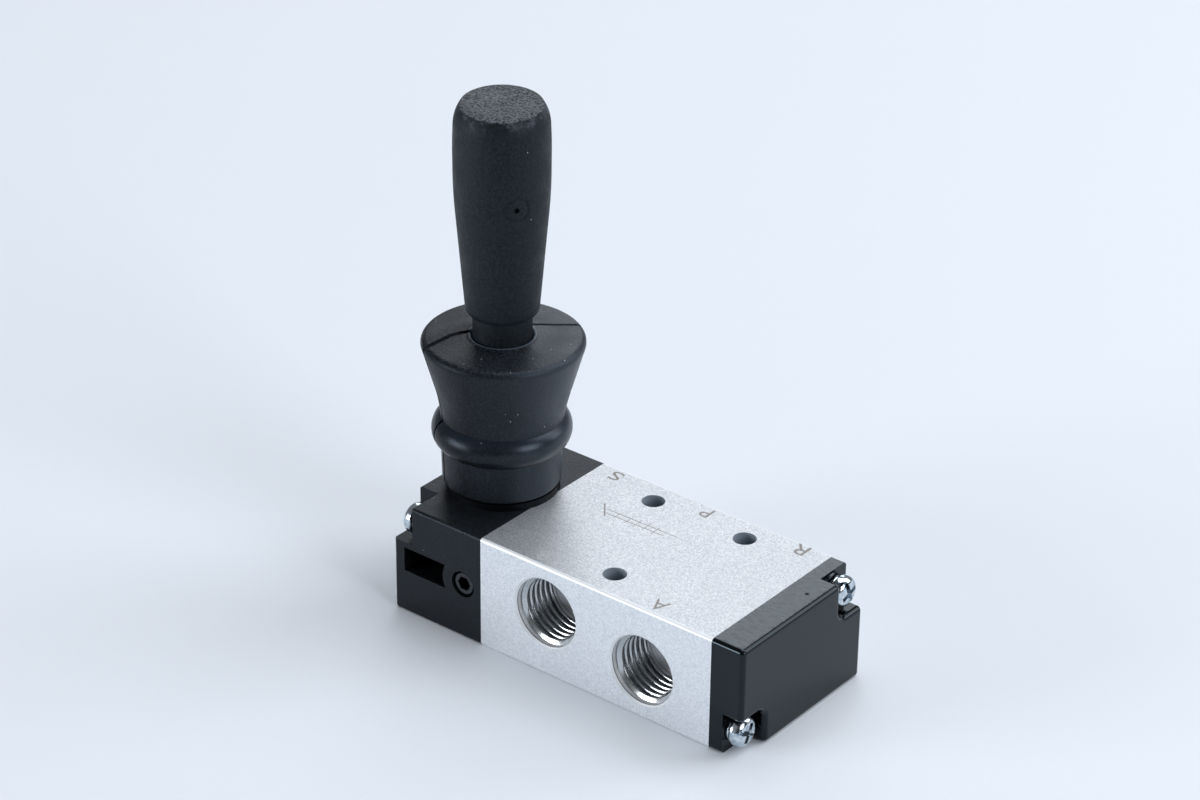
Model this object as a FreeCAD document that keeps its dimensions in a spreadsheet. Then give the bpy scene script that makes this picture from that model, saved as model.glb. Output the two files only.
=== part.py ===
import FreeCAD, Part
import math
import os
import re

import Sketcher
from FreeCAD import Vector

# Hand lever air valve: a five-port, two-position spool valve in an aluminium block, with a
# lever housing on its left end and an end cap on its right end.
# Millimetres. X runs along the spool, towards the end cap. The working ports A and B face -Y.
# Z runs up along the lever. The origin is the middle of the block's underside.

SIZES = {
    # the block
    "body_length": 50.8,
    "body_width": 35.0,
    "body_height": 22.0,
    "block_edge": 0.6,
    "body_edge": 0.35,
    "bore_radius": 6.0,
    "chamber_radius": 7.4,
    "chamber_width": 4.9,
    # ports: G 1/4 for A, B and P, G 1/8 for S and R, at the major radius of their threads
    "port_pitch": 21.3,
    "port_stagger": 1.5,
    "exhaust_pitch": 36.4,
    "quarter_radius": 6.58,
    "quarter_drill": 5.72,
    "quarter_depth": 8.4,
    "eighth_radius": 4.86,
    "eighth_drill": 4.28,
    "eighth_depth": 8.0,
    "port_chamfer": 0.35,
    "runout_depth": 0.9,
    "passage_radius": 2.6,
    # mounting holes through the block, a pair on the far side and one on the near side
    "mount_radius": 2.15,
    "mount_pitch": 20.3,
    "mount_far_inset": 5.3,
    "mount_near_inset": 5.9,
    # end screws, in opposite corners
    "screw_side_inset": 3.3,
    "screw_edge_inset": 3.9,
    "screw_radius": 1.5,
    "screw_play": 0.2,
    "thread_play": 0.03,
    "tapped_depth": 7.0,
    "screw_reach": 5.6,
    "head_radius": 2.7,
    "head_height": 2.0,
    "head_rim": 0.8,
    "head_crown": 1.3,
    "crown_radius": 2.1,
    "washer_radius": 2.6,
    "washer_bore": 1.65,
    "washer_thick": 0.8,
    "washer_split": 0.5,
    # lever housing
    "housing_length": 20.3,
    "housing_edge": 0.6,
    "seat_notch": 4.35,
    "notch_width": 7.2,
    "notch_height": 7.5,
    "lever_offset": 9.55,
    "tail_bore_radius": 5.0,
    "tail_bore_depth": 17.2,
    "window_inset": 2.35,
    "window_height": 4.8,
    "detent_offset": 4.15,
    "boss_radius": 4.72,
    "tower_radius": 9.0,
    "tower_height": 14.0,
    "tower_bore": 5.6,
    "collar_radius": 10.3,
    "collar_height": 1.3,
    "bead_radius": 10.1,
    "bead_width": 3.4,
    "bead_slope": 0.8,
    # end cap
    "cap_length": 6.7,
    "cap_seat": 2.8,
    "cap_edge": 0.9,
    "cap_notch_width": 7.0,
    "cap_notch_height": 7.5,
    "cap_notch_corner": 2.3,
    "cap_notch_lip": 1.0,
    "cap_pocket_depth": 4.6,
    "cap_pocket_play": 0.4,
    # spool and its seals
    "spool_radius": 4.0,
    "spool_nose": 1.6,
    "spool_stroke": 2.5,
    "end_play": 0.5,
    "land_play": 0.08,
    "land_width": 2.4,
    "inner_land": 7.8,
    "outer_land": 11.9,
    "seal_section": 1.3,
    "seal_groove_width": 1.5,
    "seal_play": 0.04,
    "bush_length": 4.0,
    "bush_play": 0.08,
    "gasket_radius": 7.6,
    "gasket_section": 1.1,
    "gasket_groove_width": 1.4,
    # detent on the near side of the spool's tail
    "detent_radius": 2.5,
    "detent_play": 0.05,
    "detent_length": 5.0,
    "detent_recess": 0.35,
    "detent_chamfer": 0.5,
    "socket_across": 2.5,
    "socket_depth": 2.4,
    "guide_radius": 1.62,
    "guide_length": 4.5,
    "ball_radius": 1.5,
    "ball_play": 0.05,
    "dimple_depth": 0.6,
    "spring_wire": 0.4,
    "spring_coils": 6.0,
    # lever, in heights above the block, and the finger above the spool
    "pivot_rise": 4.0,
    "pin_radius": 1.5,
    "pin_play": 0.05,
    "tip_radius": 2.3,
    "tip_play": 0.1,
    "finger_radius": 1.5,
    "finger_length": 6.5,
    "rod_radius": 3.0,
    "hub_radius": 4.4,
    "hub_height": 7.0,
    "rod_rise": 62.0,
    # grip, in heights above the block
    "neck_radius": 5.3,
    "neck_rise": 26.0,
    "grip_rise": 34.9,
    "grip_bottom_radius": 6.6,
    "grip_bottom_edge": 1.0,
    "swell_rise": 54.7,
    "grip_swell_radius": 8.2,
    "swell_arc": 100.0,
    "belly_rise": 64.0,
    "grip_radius": 8.52,
    "belly_arc": 90.0,
    "shoulder_rise": 70.6,
    "grip_shoulder_radius": 8.42,
    "shoulder_arc": 6.7,
    "top_rise": 74.45,
    "grip_top_radius": 7.2,
    "grip_play": 0.03,
    # dust boot, in heights above the block
    "boot_gap": 2.1,
    "boot_radius": 10.72,
    "boot_hem": 0.6,
    "ring_low_rise": 8.9,
    "ring_bottom_radius": 10.9,
    "ring_high_rise": 14.7,
    "ring_top_radius": 11.1,
    "ring_bulge": 3.4,
    "cone_rise": 20.8,
    "cone_radius": 12.36,
    "cone_arc": 35.0,
    "rim_rise": 28.6,
    "boot_rim_radius": 14.6,
    "boot_rise": 29.95,
    "boot_shoulder": 13.7,
    "boot_shoulder_arc": 1.1,
    "boot_crown": 0.3,
    "boot_wall": 1.6,
    "boot_play": 0.15,
}

# Places worked out from the sizes, by the names that the formulas use
PLACES = {
    "spool_height": "(body_height / 2)",
    "mount_far": "(body_width / 2 - mount_far_inset)",
    "mount_near": "(body_width / 2 - mount_near_inset)",
    "screw_across": "(body_width / 2 - screw_side_inset)",
    "screw_rise": "(body_height / 2 - screw_edge_inset)",
    "pivot_height": "(body_height + pivot_rise)",
    "finger_top": "(body_height / 2 + finger_length)",
    "rod_top": "(body_height + rod_rise)",
    "neck_bottom": "(body_height + neck_rise)",
    "grip_bottom": "(body_height + grip_rise)",
    "grip_swell_start": "(body_height + swell_rise)",
    "grip_belly": "(body_height + belly_rise)",
    "grip_shoulder": "(body_height + shoulder_rise)",
    "grip_top": "(body_height + top_rise)",
    "boot_bottom": "(body_height + boot_gap)",
    "ring_bottom": "(body_height + ring_low_rise)",
    "ring_top": "(body_height + ring_high_rise)",
    "cone_bend": "(body_height + cone_rise)",
    "boot_rim": "(body_height + rim_rise)",
    "boot_top": "(body_height + boot_rise)",
}

LEFT = "(-body_length / 2)"
RIGHT = "(body_length / 2)"
NEAR = "(-body_width / 2)"
FAR = "(body_width / 2)"
LEVER = "(-body_length / 2 - lever_offset)"
DETENT = "(-body_length / 2 - detent_offset)"
HOUSING_SEAT = "(-body_length / 2 - housing_length + seat_notch)"
CAP_SEAT = "(body_length / 2 + cap_seat)"
TOWER_TOP = "(body_height + tower_height)"
SPOOL_LEFT = "(-body_length / 2 - tail_bore_depth + spool_stroke + end_play)"
SPOOL_RIGHT = "(body_length / 2 + cap_pocket_depth - spool_stroke - end_play)"
BALL_DEPTH = "(spool_radius + ball_radius + ball_play)"
SCREW_INNER = "(body_width / 2 - detent_recess - detent_length)"
CHAMBERS = (
    "(-exhaust_pitch / 2)",
    "(-port_pitch / 2)",
    "0",
    "(port_pitch / 2)",
    "(exhaust_pitch / 2)",
)
PORTS = {
    "B": ("-port_pitch / 2", "spool_height + port_stagger", -1),
    "A": ("port_pitch / 2", "spool_height - port_stagger", -1),
    "P": ("0", "spool_height", 1),
    "S": ("-exhaust_pitch / 2", "spool_height", 1),
    "R": ("exhaust_pitch / 2", "spool_height", 1),
}
MOUNT_HOLES = (
    ("-mount_pitch / 2", "mount_far"),
    ("mount_pitch / 2", "mount_far"),
    ("0", "-mount_near"),
)
TAPPED = "(screw_radius + thread_play)"
CLEARANCE = "(screw_radius + screw_play)"
LANDS = ("(-outer_land)", "(-inner_land)", "(inner_land)", "(outer_land)")
GROOVE_DEPTH = "(seal_section + seal_play)"

doc = FreeCAD.newDocument("hand_lever_air_valve")
sheet = doc.addObject("Spreadsheet::Sheet", "Sizes")
for row, (alias, number) in enumerate(SIZES.items(), start=1):
    sheet.set(f"A{row}", alias.replace("_", " "))
    sheet.set(f"B{row}", str(number))
    sheet.setAlias(f"B{row}", alias)
doc.recompute()


def bound(formula):
    """The formula with each place worked out and each size named as a cell of the sheet."""
    name = r"[a-z]+(?:_[a-z]+)+"
    spelt_out = re.sub(name, lambda found: PLACES.get(found[0], found[0]), formula)
    return re.sub(name, r"Sizes.\g<0>", spelt_out)


def measure(formula):
    """What the formula gives now, in millimetres."""
    return float(sheet.evalExpression(bound(formula)))


def new_body(name):
    body = doc.addObject("PartDesign::Body", name)
    body.Label = name
    return body


def new_sketch(body, name, plane, place=("0", "0", "0")):
    """A sketch on one of the body's own planes, moved by place in the sketch's own directions."""
    sketch = body.newObject("Sketcher::SketchObject", name)
    support = next(item for item in body.Origin.OriginFeatures if item.Role == plane)
    sketch.AttachmentSupport = [(support, "")]
    sketch.MapMode = "FlatFace"
    for letter, formula in zip("xyz", place):
        sketch.setExpression(f".AttachmentOffset.Base.{letter}", bound(formula))
    doc.recompute([sketch])
    return sketch


def tie(sketch, constraint, formula):
    """Add a constraint whose value follows the formula."""
    index = sketch.addConstraint(constraint)
    sketch.setExpression(f"Constraints[{index}]", bound(formula))


def tie_point(sketch, geometry, end, across, up):
    """Hold one point of a sketched line, arc or circle at its place from the sketch's origin."""
    for kind, formula in (("DistanceX", across), ("DistanceY", up)):
        tie(sketch, Sketcher.Constraint(kind, -1, 1, geometry, end, measure(formula)), formula)


def arc_between(start, finish, radius, way):
    """An arc from start to finish, turning left where way is 1 and right where it is -1."""
    chord = finish - start
    middle = start + chord * 0.5
    aside = Vector(-chord.y, chord.x, 0).normalize() * way
    centre = middle + aside * math.sqrt(max(radius**2 - chord.Length**2 / 4, 0.0))
    first, last = (start, finish) if way > 0 else (finish, start)
    angles = [math.atan2(point.y - centre.y, point.x - centre.x) for point in (first, last)]
    circle = Part.Circle(centre, Vector(0, 0, 1), radius)
    return Part.ArcOfCircle(circle, *angles), ((1, 2) if way > 0 else (2, 1))


def outline(sketch, corners, arcs=None):
    """A closed outline through corners, each an (across, up) pair of formulas. arcs gives the
    sides that are arcs: side number to (radius formula, way that the arc turns)."""
    arcs = arcs or {}
    points = [Vector(measure(across), measure(up), 0) for across, up in corners]
    count = len(points)
    first = sketch.GeometryCount
    ends = []
    for side, start in enumerate(points):
        finish = points[(side + 1) % count]
        if side in arcs:
            edge, order = arc_between(start, finish, measure(arcs[side][0]), arcs[side][1])
        else:
            edge, order = Part.LineSegment(start, finish), (1, 2)
        sketch.addGeometry(edge)
        ends.append(order)
    for side, (across, up) in enumerate(corners):
        after = (side + 1) % count
        joint = (first + side, ends[side][1], first + after, ends[after][0])
        sketch.addConstraint(Sketcher.Constraint("Coincident", *joint))
        tie_point(sketch, first + side, ends[side][0], across, up)
    for side, (radius, _) in arcs.items():
        tie(sketch, Sketcher.Constraint("Radius", first + side, measure(radius)), radius)


def box_outline(sketch, low, high):
    """A rectangle from its low corner to its high corner."""
    outline(sketch, [low, (high[0], low[1]), high, (low[0], high[1])])


def circle(sketch, across, up, radius):
    centre = Vector(measure(across), measure(up), 0)
    index = sketch.addGeometry(Part.Circle(centre, Vector(0, 0, 1), measure(radius)))
    tie_point(sketch, index, 3, across, up)
    tie(sketch, Sketcher.Constraint("Radius", index, measure(radius)), radius)


def extrude(body, kind, name, sketch, length, back=False):
    """A Pad or Pocket of the sketch, along its normal or, where back is set, against it."""
    item = body.newObject(f"PartDesign::{kind}", name)
    item.Profile = sketch
    item.Reversed = back
    if length:
        item.setExpression("Length", bound(length))
    else:
        item.Type = "ThroughAll"
        item.SideType = "Symmetric"
    return item


def revolve(body, kind, name, sketch, axis):
    """A Revolution or Groove of the sketch, a full turn about its H_Axis or V_Axis."""
    item = body.newObject(f"PartDesign::{kind}", name)
    item.Profile = sketch
    item.ReferenceAxis = (sketch, [axis])
    item.Angle = 360
    return item


def round_edges(body, name, radius, chosen):
    """Round each edge of the body so far for which chosen says yes."""
    doc.recompute()
    base = body.Tip
    edges = [f"Edge{n}" for n, edge in enumerate(base.Shape.Edges, start=1) if chosen(edge)]
    item = body.newObject("PartDesign::Fillet", name)
    item.Base = (base, edges)
    item.setExpression("Radius", bound(radius))
    return item


def half_turn(body, name, originals):
    """Repeat features half a turn round the spool's axis, as the end screws are placed."""
    sketch = new_sketch(body, name + "_axis", "YZ_Plane", ("0", "spool_height", "0"))
    pattern = body.newObject("PartDesign::PolarPattern", name)
    pattern.Originals = originals
    pattern.Axis = (sketch, ["N_Axis"])
    pattern.Angle = 360
    pattern.Occurrences = 2
    body.Tip = pattern
    return pattern


def spans(edge, axis, place):
    """Does the whole edge lie at this place along the axis, 0, 1 or 2?"""
    return all(abs(vertex.Point[axis] - place) < 1e-4 for vertex in edge.Vertexes)


def port_cut(body, name, across, up, facing, radius, drill, depth):
    """A tapped port: chamfer, thread bore, run-out, tapping drill and passage to the spool."""
    mouth = f"({facing} * body_width / 2)"
    sketch = new_sketch(body, f"{name}_outline", "XY_Plane", (across, "0", up))
    shelf = f"({mouth} - {facing} * ({depth}))"
    drilled = f"({facing} * (chamber_radius - port_chamfer))"
    outline(
        sketch,
        [
            ("0", mouth),
            (f"{radius} + port_chamfer", mouth),
            (radius, f"{mouth} - {facing} * port_chamfer"),
            (radius, shelf),
            (drill, f"{shelf} - {facing} * runout_depth"),
            ("passage_radius", drilled),
            ("passage_radius", f"{facing} * spool_radius"),
            ("0", f"{facing} * spool_radius"),
        ],
    )
    revolve(body, "Groove", name, sketch, "V_Axis")


def make_valve_body():
    body = new_body("valve_body")
    section = new_sketch(body, "body_section", "YZ_Plane", ("0", "0", LEFT))
    box_outline(section, (NEAR, "0"), (FAR, "body_height"))
    extrude(body, "Pad", "block", section, "body_length")
    long_edges = lambda edge: edge.Length > 0.99 * measure("body_length")
    round_edges(body, "block_edges", "block_edge", long_edges)

    bore = new_sketch(body, "bore_circle", "YZ_Plane")
    circle(bore, "0", "spool_height", "bore_radius")
    extrude(body, "Pocket", "spool_bore", bore, None)

    chambers = new_sketch(body, "chamber_outline", "XY_Plane", ("0", "0", "spool_height"))
    for place in CHAMBERS:
        low = (f"{place} - chamber_width / 2", "0")
        high = (f"{place} + chamber_width / 2", "chamber_radius")
        box_outline(chambers, low, high)
    revolve(body, "Groove", "chambers", chambers, "H_Axis")

    quarter = ("quarter_radius", "quarter_drill", "quarter_depth")
    eighth = ("eighth_radius", "eighth_drill", "eighth_depth")
    for name, (across, up, facing) in PORTS.items():
        sizes = eighth if name in ("S", "R") else quarter
        port_cut(body, f"port_{name}", across, up, facing, *sizes)

    holes = new_sketch(body, "mount_circles", "XY_Plane")
    for across, up in MOUNT_HOLES:
        circle(holes, across, up, "mount_radius")
    extrude(body, "Pocket", "mount_holes", holes, None)

    for name, end, side, back in (("left", LEFT, -1, False), ("right", RIGHT, 1, True)):
        tapped = new_sketch(body, f"tapped_{name}", "YZ_Plane", ("0", "0", end))
        for turn in (1, -1):
            across = f"{turn} * screw_across"
            circle(tapped, across, f"spool_height + {turn * side} * screw_rise", TAPPED)
        extrude(body, "Pocket", f"tapped_holes_{name}", tapped, "tapped_depth", back=not back)

        groove = new_sketch(body, f"gasket_ring_{name}", "YZ_Plane", ("0", "0", end))
        circle(groove, "0", "spool_height", "gasket_radius - gasket_groove_width / 2")
        circle(groove, "0", "spool_height", "gasket_radius + gasket_groove_width / 2")
        extrude(body, "Pocket", f"gasket_groove_{name}", groove, "gasket_section", back=not back)
    return body


def make_lever_housing():
    body = new_body("lever_housing")
    section = new_sketch(body, "housing_section", "YZ_Plane", ("0", "0", LEFT))
    box_outline(section, (NEAR, "0"), (FAR, "body_height"))
    extrude(body, "Pad", "housing_block", section, "housing_length", back=True)
    joint = measure(LEFT)
    round_edges(body, "housing_edges", "housing_edge", lambda edge: not spans(edge, 0, joint))

    tower = new_sketch(body, "tower_outline", "XZ_Plane", (LEVER, "0", "0"))
    bead_top = f"({TOWER_TOP} - bead_slope)"
    outline(
        tower,
        [
            ("0", "body_height / 2"),
            ("tower_radius", "body_height / 2"),
            ("tower_radius", "body_height"),
            ("collar_radius", "body_height"),
            ("collar_radius", "body_height + collar_height"),
            ("tower_radius", "body_height + collar_height"),
            ("tower_radius", f"{bead_top} - bead_width"),
            ("bead_radius", f"{bead_top} - bead_width + bead_slope"),
            ("bead_radius", bead_top),
            ("tower_radius", TOWER_TOP),
            ("0", TOWER_TOP),
        ],
    )
    revolve(body, "Revolution", "tower", tower, "V_Axis")

    tail = new_sketch(body, "tail_circle", "YZ_Plane", ("0", "0", LEFT))
    circle(tail, "0", "spool_height", "tail_bore_radius")
    extrude(body, "Pocket", "tail_bore", tail, "tail_bore_depth")

    well = new_sketch(body, "lever_well", "XY_Plane", ("0", "0", TOWER_TOP))
    circle(well, LEVER, "0", "tower_bore")
    extrude(body, "Pocket", "lever_bore", well, f"{TOWER_TOP} - spool_height")

    half = "(window_height / 2)"
    arc_start = f"({DETENT} - sqrt(boss_radius * boss_radius - {half} * {half}))"
    window_left = "(-body_length / 2 - housing_length + window_inset)"
    window = new_sketch(body, "window_outline", "XZ_Plane", ("0", "spool_height", FAR))
    outline(
        window,
        [
            (window_left, f"-{half}"),
            (arc_start, f"-{half}"),
            (arc_start, half),
            (window_left, half),
        ],
        {1: ("boss_radius", -1)},
    )
    extrude(body, "Pocket", "window", window, "body_width / 2 - spool_radius / 2")

    detent = new_sketch(body, "detent_outline", "XY_Plane", (DETENT, "0", "spool_height"))
    bottom = f"(-{BALL_DEPTH} - guide_length)"
    hole = "detent_radius + detent_play"
    outline(
        detent,
        [("0", NEAR), (hole, NEAR), (hole, bottom), ("guide_radius", bottom)]
        + [("guide_radius", "-spool_radius"), ("0", "-spool_radius")],
    )
    revolve(body, "Groove", "detent_hole", detent, "V_Axis")

    corners = new_sketch(body, "notch_outline", "YZ_Plane", ("0", "0", f"{LEFT} - housing_length"))
    box_outline(corners, (NEAR, "body_height - notch_height"), (f"{NEAR} + notch_width", "body_height"))
    box_outline(corners, (f"{FAR} - notch_width", "0"), (FAR, "notch_height"))
    extrude(body, "Pocket", "screw_notches", corners, "seat_notch", back=True)

    shafts = new_sketch(body, "screw_circles", "YZ_Plane", ("0", "0", LEFT))
    for turn in (1, -1):
        across = f"{turn} * screw_across"
        circle(shafts, across, f"spool_height - {turn} * screw_rise", CLEARANCE)
    extrude(body, "Pocket", "screw_holes", shafts, "housing_length")

    pivot = new_sketch(body, "pivot_circle", "XZ_Plane")
    circle(pivot, LEVER, "pivot_height", "pin_radius")
    extrude(body, "Pocket", "pivot_hole", pivot, None)
    return body


def make_end_cap():
    body = new_body("end_cap")
    section = new_sketch(body, "cap_section", "YZ_Plane", ("0", "0", RIGHT))
    box_outline(section, (NEAR, "0"), (FAR, "body_height"))
    extrude(body, "Pad", "cap_block", section, "cap_length")

    corner = "cap_notch_corner"
    inner = f"({NEAR} + cap_notch_width)"
    notch = new_sketch(body, "cap_notch_outline", "YZ_Plane", ("0", "0", f"{RIGHT} + cap_length"))
    outline(
        notch,
        [
            (NEAR, "0"),
            (inner, "0"),
            (inner, f"cap_notch_height - {corner}"),
            (f"{inner} - {corner}", "cap_notch_height"),
            (NEAR, "cap_notch_height"),
        ],
        {2: (corner, 1)},
    )
    outline(
        notch,
        [
            (FAR, "body_height"),
            (f"-{inner}", "body_height"),
            (f"-{inner}", f"body_height - cap_notch_height + {corner}"),
            (f"-{inner} + {corner}", "body_height - cap_notch_height"),
            (FAR, "body_height - cap_notch_height"),
        ],
        {2: (corner, 1)},
    )
    extrude(body, "Pocket", "cap_notches", notch, "cap_length - cap_seat")

    joint = measure(RIGHT)
    face = measure(f"{RIGHT} + cap_length")
    seat = measure(CAP_SEAT)
    near, top = measure(FAR), measure("body_height")
    wall = measure(f"-{inner}")
    shelf = measure("cap_notch_height")

    def runs_along(edge, places):
        """Does the edge run along the spool, at one of these (across, up) places?"""
        start, finish = edge.Vertexes[0].Point, edge.Vertexes[-1].Point
        if abs(start.y - finish.y) > 1e-4 or abs(start.z - finish.z) > 1e-4:
            return False
        return any(abs(start.y - y) < 1e-4 and abs(start.z - z) < 1e-4 for y, z in places)

    lips = ((-wall, 0), (-near, shelf), (wall, top), (near, top - shelf))
    round_edges(body, "notch_lips", "cap_notch_lip", lambda edge: runs_along(edge, lips))

    corners = [(y, z) for y in (-near, near) for z in (0, top)]

    def outer_edge(edge):
        """The edges of the face, and those along the block's outer corners."""
        if spans(edge, 0, joint) or spans(edge, 0, seat):
            return False
        return spans(edge, 0, face) or runs_along(edge, corners)

    round_edges(body, "cap_edges", "cap_edge", outer_edge)

    shafts = new_sketch(body, "cap_screw_circles", "YZ_Plane", ("0", "0", RIGHT))
    for turn in (1, -1):
        across = f"{turn} * screw_across"
        circle(shafts, across, f"spool_height + {turn} * screw_rise", CLEARANCE)
    extrude(body, "Pocket", "cap_screw_holes", shafts, "cap_seat", back=True)

    pocket = new_sketch(body, "cap_pocket_circle", "YZ_Plane", ("0", "0", RIGHT))
    circle(pocket, "0", "spool_height", "spool_radius + cap_pocket_play")
    extrude(body, "Pocket", "cap_pocket", pocket, "cap_pocket_depth", back=True)
    return body


def seal_ring(name, across, centre_radius, section):
    """A round-section ring about the spool's axis."""
    body = new_body(name)
    sketch = new_sketch(body, f"{name}_section", "XY_Plane", ("0", "0", "spool_height"))
    circle(sketch, across, centre_radius, section)
    revolve(body, "Revolution", f"{name}_ring", sketch, "H_Axis")
    return body


def make_spool():
    body = new_body("spool")
    shaft = new_sketch(body, "spool_outline", "XY_Plane", ("0", "0", "spool_height"))
    outline(
        shaft,
        [
            (SPOOL_LEFT, "0"),
            (SPOOL_LEFT, "spool_radius - body_edge"),
            (f"{SPOOL_LEFT} + body_edge", "spool_radius"),
            (f"{SPOOL_RIGHT} - body_edge", "spool_radius"),
            (SPOOL_RIGHT, "spool_radius - body_edge"),
            (SPOOL_RIGHT, "0"),
        ],
    )
    revolve(body, "Revolution", "spool_shaft", shaft, "H_Axis")

    rings = new_sketch(body, "land_outline", "XY_Plane", ("0", "0", "spool_height"))
    for place in LANDS:
        low = (f"{place} - land_width / 2", "spool_nose")
        high = (f"{place} + land_width / 2", "bore_radius - land_play")
        box_outline(rings, low, high)
    revolve(body, "Revolution", "lands", rings, "H_Axis")

    grooves = new_sketch(body, "seal_grooves_outline", "XY_Plane", ("0", "0", "spool_height"))
    for place in LANDS:
        low = (f"{place} - seal_groove_width / 2", f"bore_radius - seal_play - {GROOVE_DEPTH}")
        high = (f"{place} + seal_groove_width / 2", "bore_radius")
        box_outline(grooves, low, high)
    revolve(body, "Groove", "seal_grooves", grooves, "H_Axis")

    eye = new_sketch(body, "eye_circle", "XY_Plane")
    circle(eye, LEVER, "0", "tip_radius + tip_play")
    extrude(body, "Pocket", "lever_eye", eye, None)

    for name, way in (("left", -1), ("right", 1)):
        place = f"{DETENT} + {way} * spool_stroke"
        dimple = new_sketch(body, f"dimple_{name}", "XY_Plane", (place, "0", "spool_height"))
        outline(
            dimple,
            [("0", "-spool_radius"), ("dimple_depth", "-spool_radius")]
            + [("0", "-spool_radius + dimple_depth")],
        )
        revolve(body, "Groove", f"detent_dimple_{name}", dimple, "V_Axis")
    return body


def make_guide_bush(name, way):
    """A bush that guides the spool at one end of its bore, with a groove for its own seal."""
    body = new_body(name)
    end = LEFT if way < 0 else RIGHT
    sketch = new_sketch(body, f"{name}_outline", "XY_Plane", (end, "0", "spool_height"))
    inner = "(spool_radius + bush_play)"
    outline(
        sketch,
        [
            ("0", inner),
            ("0", "bore_radius"),
            (f"{-way} * bush_length", "bore_radius"),
            (f"{-way} * bush_length", inner),
        ],
    )
    revolve(body, "Revolution", f"{name}_ring", sketch, "H_Axis")
    groove = new_sketch(body, f"{name}_groove", "XY_Plane", (end, "0", "spool_height"))
    middle = f"({-way} * bush_length / 2)"
    box_outline(
        groove,
        (f"{middle} - seal_groove_width / 2", "spool_radius"),
        (f"{middle} + seal_groove_width / 2", f"spool_radius + seal_play + {GROOVE_DEPTH}"),
    )
    revolve(body, "Groove", f"{name}_seal_groove", groove, "H_Axis")
    return body


def make_screws(name, seat, way, length):
    """Two pan-head screws in opposite corners. way is the side that their heads face."""
    body = new_body(name)
    body.AllowCompound = True
    rise = f"spool_height - {way} * screw_rise"
    sketch = new_sketch(body, f"{name}_outline", "XY_Plane", ("0", "-screw_across", rise))
    under = f"({seat} + {way} * washer_thick)"
    top = f"({under} + {way} * head_height)"
    outline(
        sketch,
        [
            (f"{seat} - {way} * ({length})", "0"),
            (f"{seat} - {way} * ({length})", "screw_radius"),
            (under, "screw_radius"),
            (under, "head_radius"),
            (f"{under} + {way} * head_rim", "head_radius"),
            (top, "head_crown"),
            (top, "0"),
        ],
        {4: ("crown_radius", -way)},
    )
    screw = revolve(body, "Revolution", f"{name}_one", sketch, "H_Axis")
    half_turn(body, f"{name}_pair", [screw])
    return body


def make_washers(name, seat, way):
    """Two split spring washers under the end screws' heads."""
    body = new_body(name)
    body.AllowCompound = True
    rise = f"spool_height - {way} * screw_rise"
    sketch = new_sketch(body, f"{name}_circles", "YZ_Plane", ("-screw_across", rise, seat))
    circle(sketch, "0", "0", "washer_bore")
    circle(sketch, "0", "0", "washer_radius")
    ring = extrude(body, "Pad", f"{name}_one", sketch, "washer_thick", back=way < 0)
    gap = new_sketch(body, f"{name}_gap", "YZ_Plane", ("-screw_across", rise, seat))
    box_outline(gap, ("washer_bore / 2", "-washer_split / 2"), ("head_radius", "washer_split / 2"))
    split = extrude(body, "Pocket", f"{name}_split", gap, "washer_thick", back=way > 0)
    half_turn(body, f"{name}_pair", [ring, split])
    return body


def make_detent_screw():
    body = new_body("detent_screw")
    sketch = new_sketch(body, "detent_screw_outline", "XY_Plane", (DETENT, "0", "spool_height"))
    outer = f"({NEAR} + detent_recess)"
    inner = f"(-{SCREW_INNER})"
    outline(
        sketch,
        [
            ("0", outer),
            ("detent_radius - detent_chamfer", outer),
            ("detent_radius", f"{outer} + detent_chamfer"),
            ("detent_radius", f"{inner} - detent_chamfer"),
            ("detent_radius - detent_chamfer", inner),
            ("0", inner),
        ],
    )
    revolve(body, "Revolution", "detent_screw_solid", sketch, "V_Axis")
    socket = new_sketch(body, "socket_outline", "XZ_Plane", (DETENT, "spool_height", f"-{outer}"))
    reach = "socket_across / sqrt(3)"
    turns = [(f"{reach} * cos({60 * n})", f"{reach} * sin({60 * n})") for n in range(6)]
    outline(socket, turns)
    extrude(body, "Pocket", "socket", socket, "socket_depth")
    return body


def make_detent_spring():
    body = new_body("detent_spring")
    start = f"(-{SCREW_INNER} + spring_wire / 2)"
    length = f"({SCREW_INNER} - {BALL_DEPTH} - ball_radius - spring_wire - ball_play)"
    sketch = new_sketch(body, "spring_section", "XY_Plane", (DETENT, "0", "spool_height"))
    circle(sketch, "guide_radius - ball_play - spring_wire / 2", start, "spring_wire / 2")
    coil = body.newObject("PartDesign::AdditiveHelix", "spring_coil")
    coil.Profile = sketch
    coil.ReferenceAxis = (sketch, ["V_Axis"])
    coil.Mode = "height-turns-angle"
    coil.setExpression("Height", bound(length))
    coil.setExpression("Turns", bound("spring_coils"))
    return body


def make_detent_ball():
    body = new_body("detent_ball")
    sketch = new_sketch(body, "ball_outline", "XY_Plane", (DETENT, f"-{BALL_DEPTH}", "spool_height"))
    quarters = [("0", "-ball_radius"), ("ball_radius", "0"), ("0", "ball_radius")]
    outline(sketch, quarters, {0: ("ball_radius", 1), 1: ("ball_radius", 1)})
    revolve(body, "Revolution", "ball", sketch, "V_Axis")
    return body


def make_pivot_pin():
    body = new_body("pivot_pin")
    half = "(tower_radius - body_edge)"
    sketch = new_sketch(body, "pin_circle", "XZ_Plane", ("0", "0", f"-{half}"))
    circle(sketch, LEVER, "pivot_height", "pin_radius")
    extrude(body, "Pad", "pin", sketch, f"2 * {half}")
    return body


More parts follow.
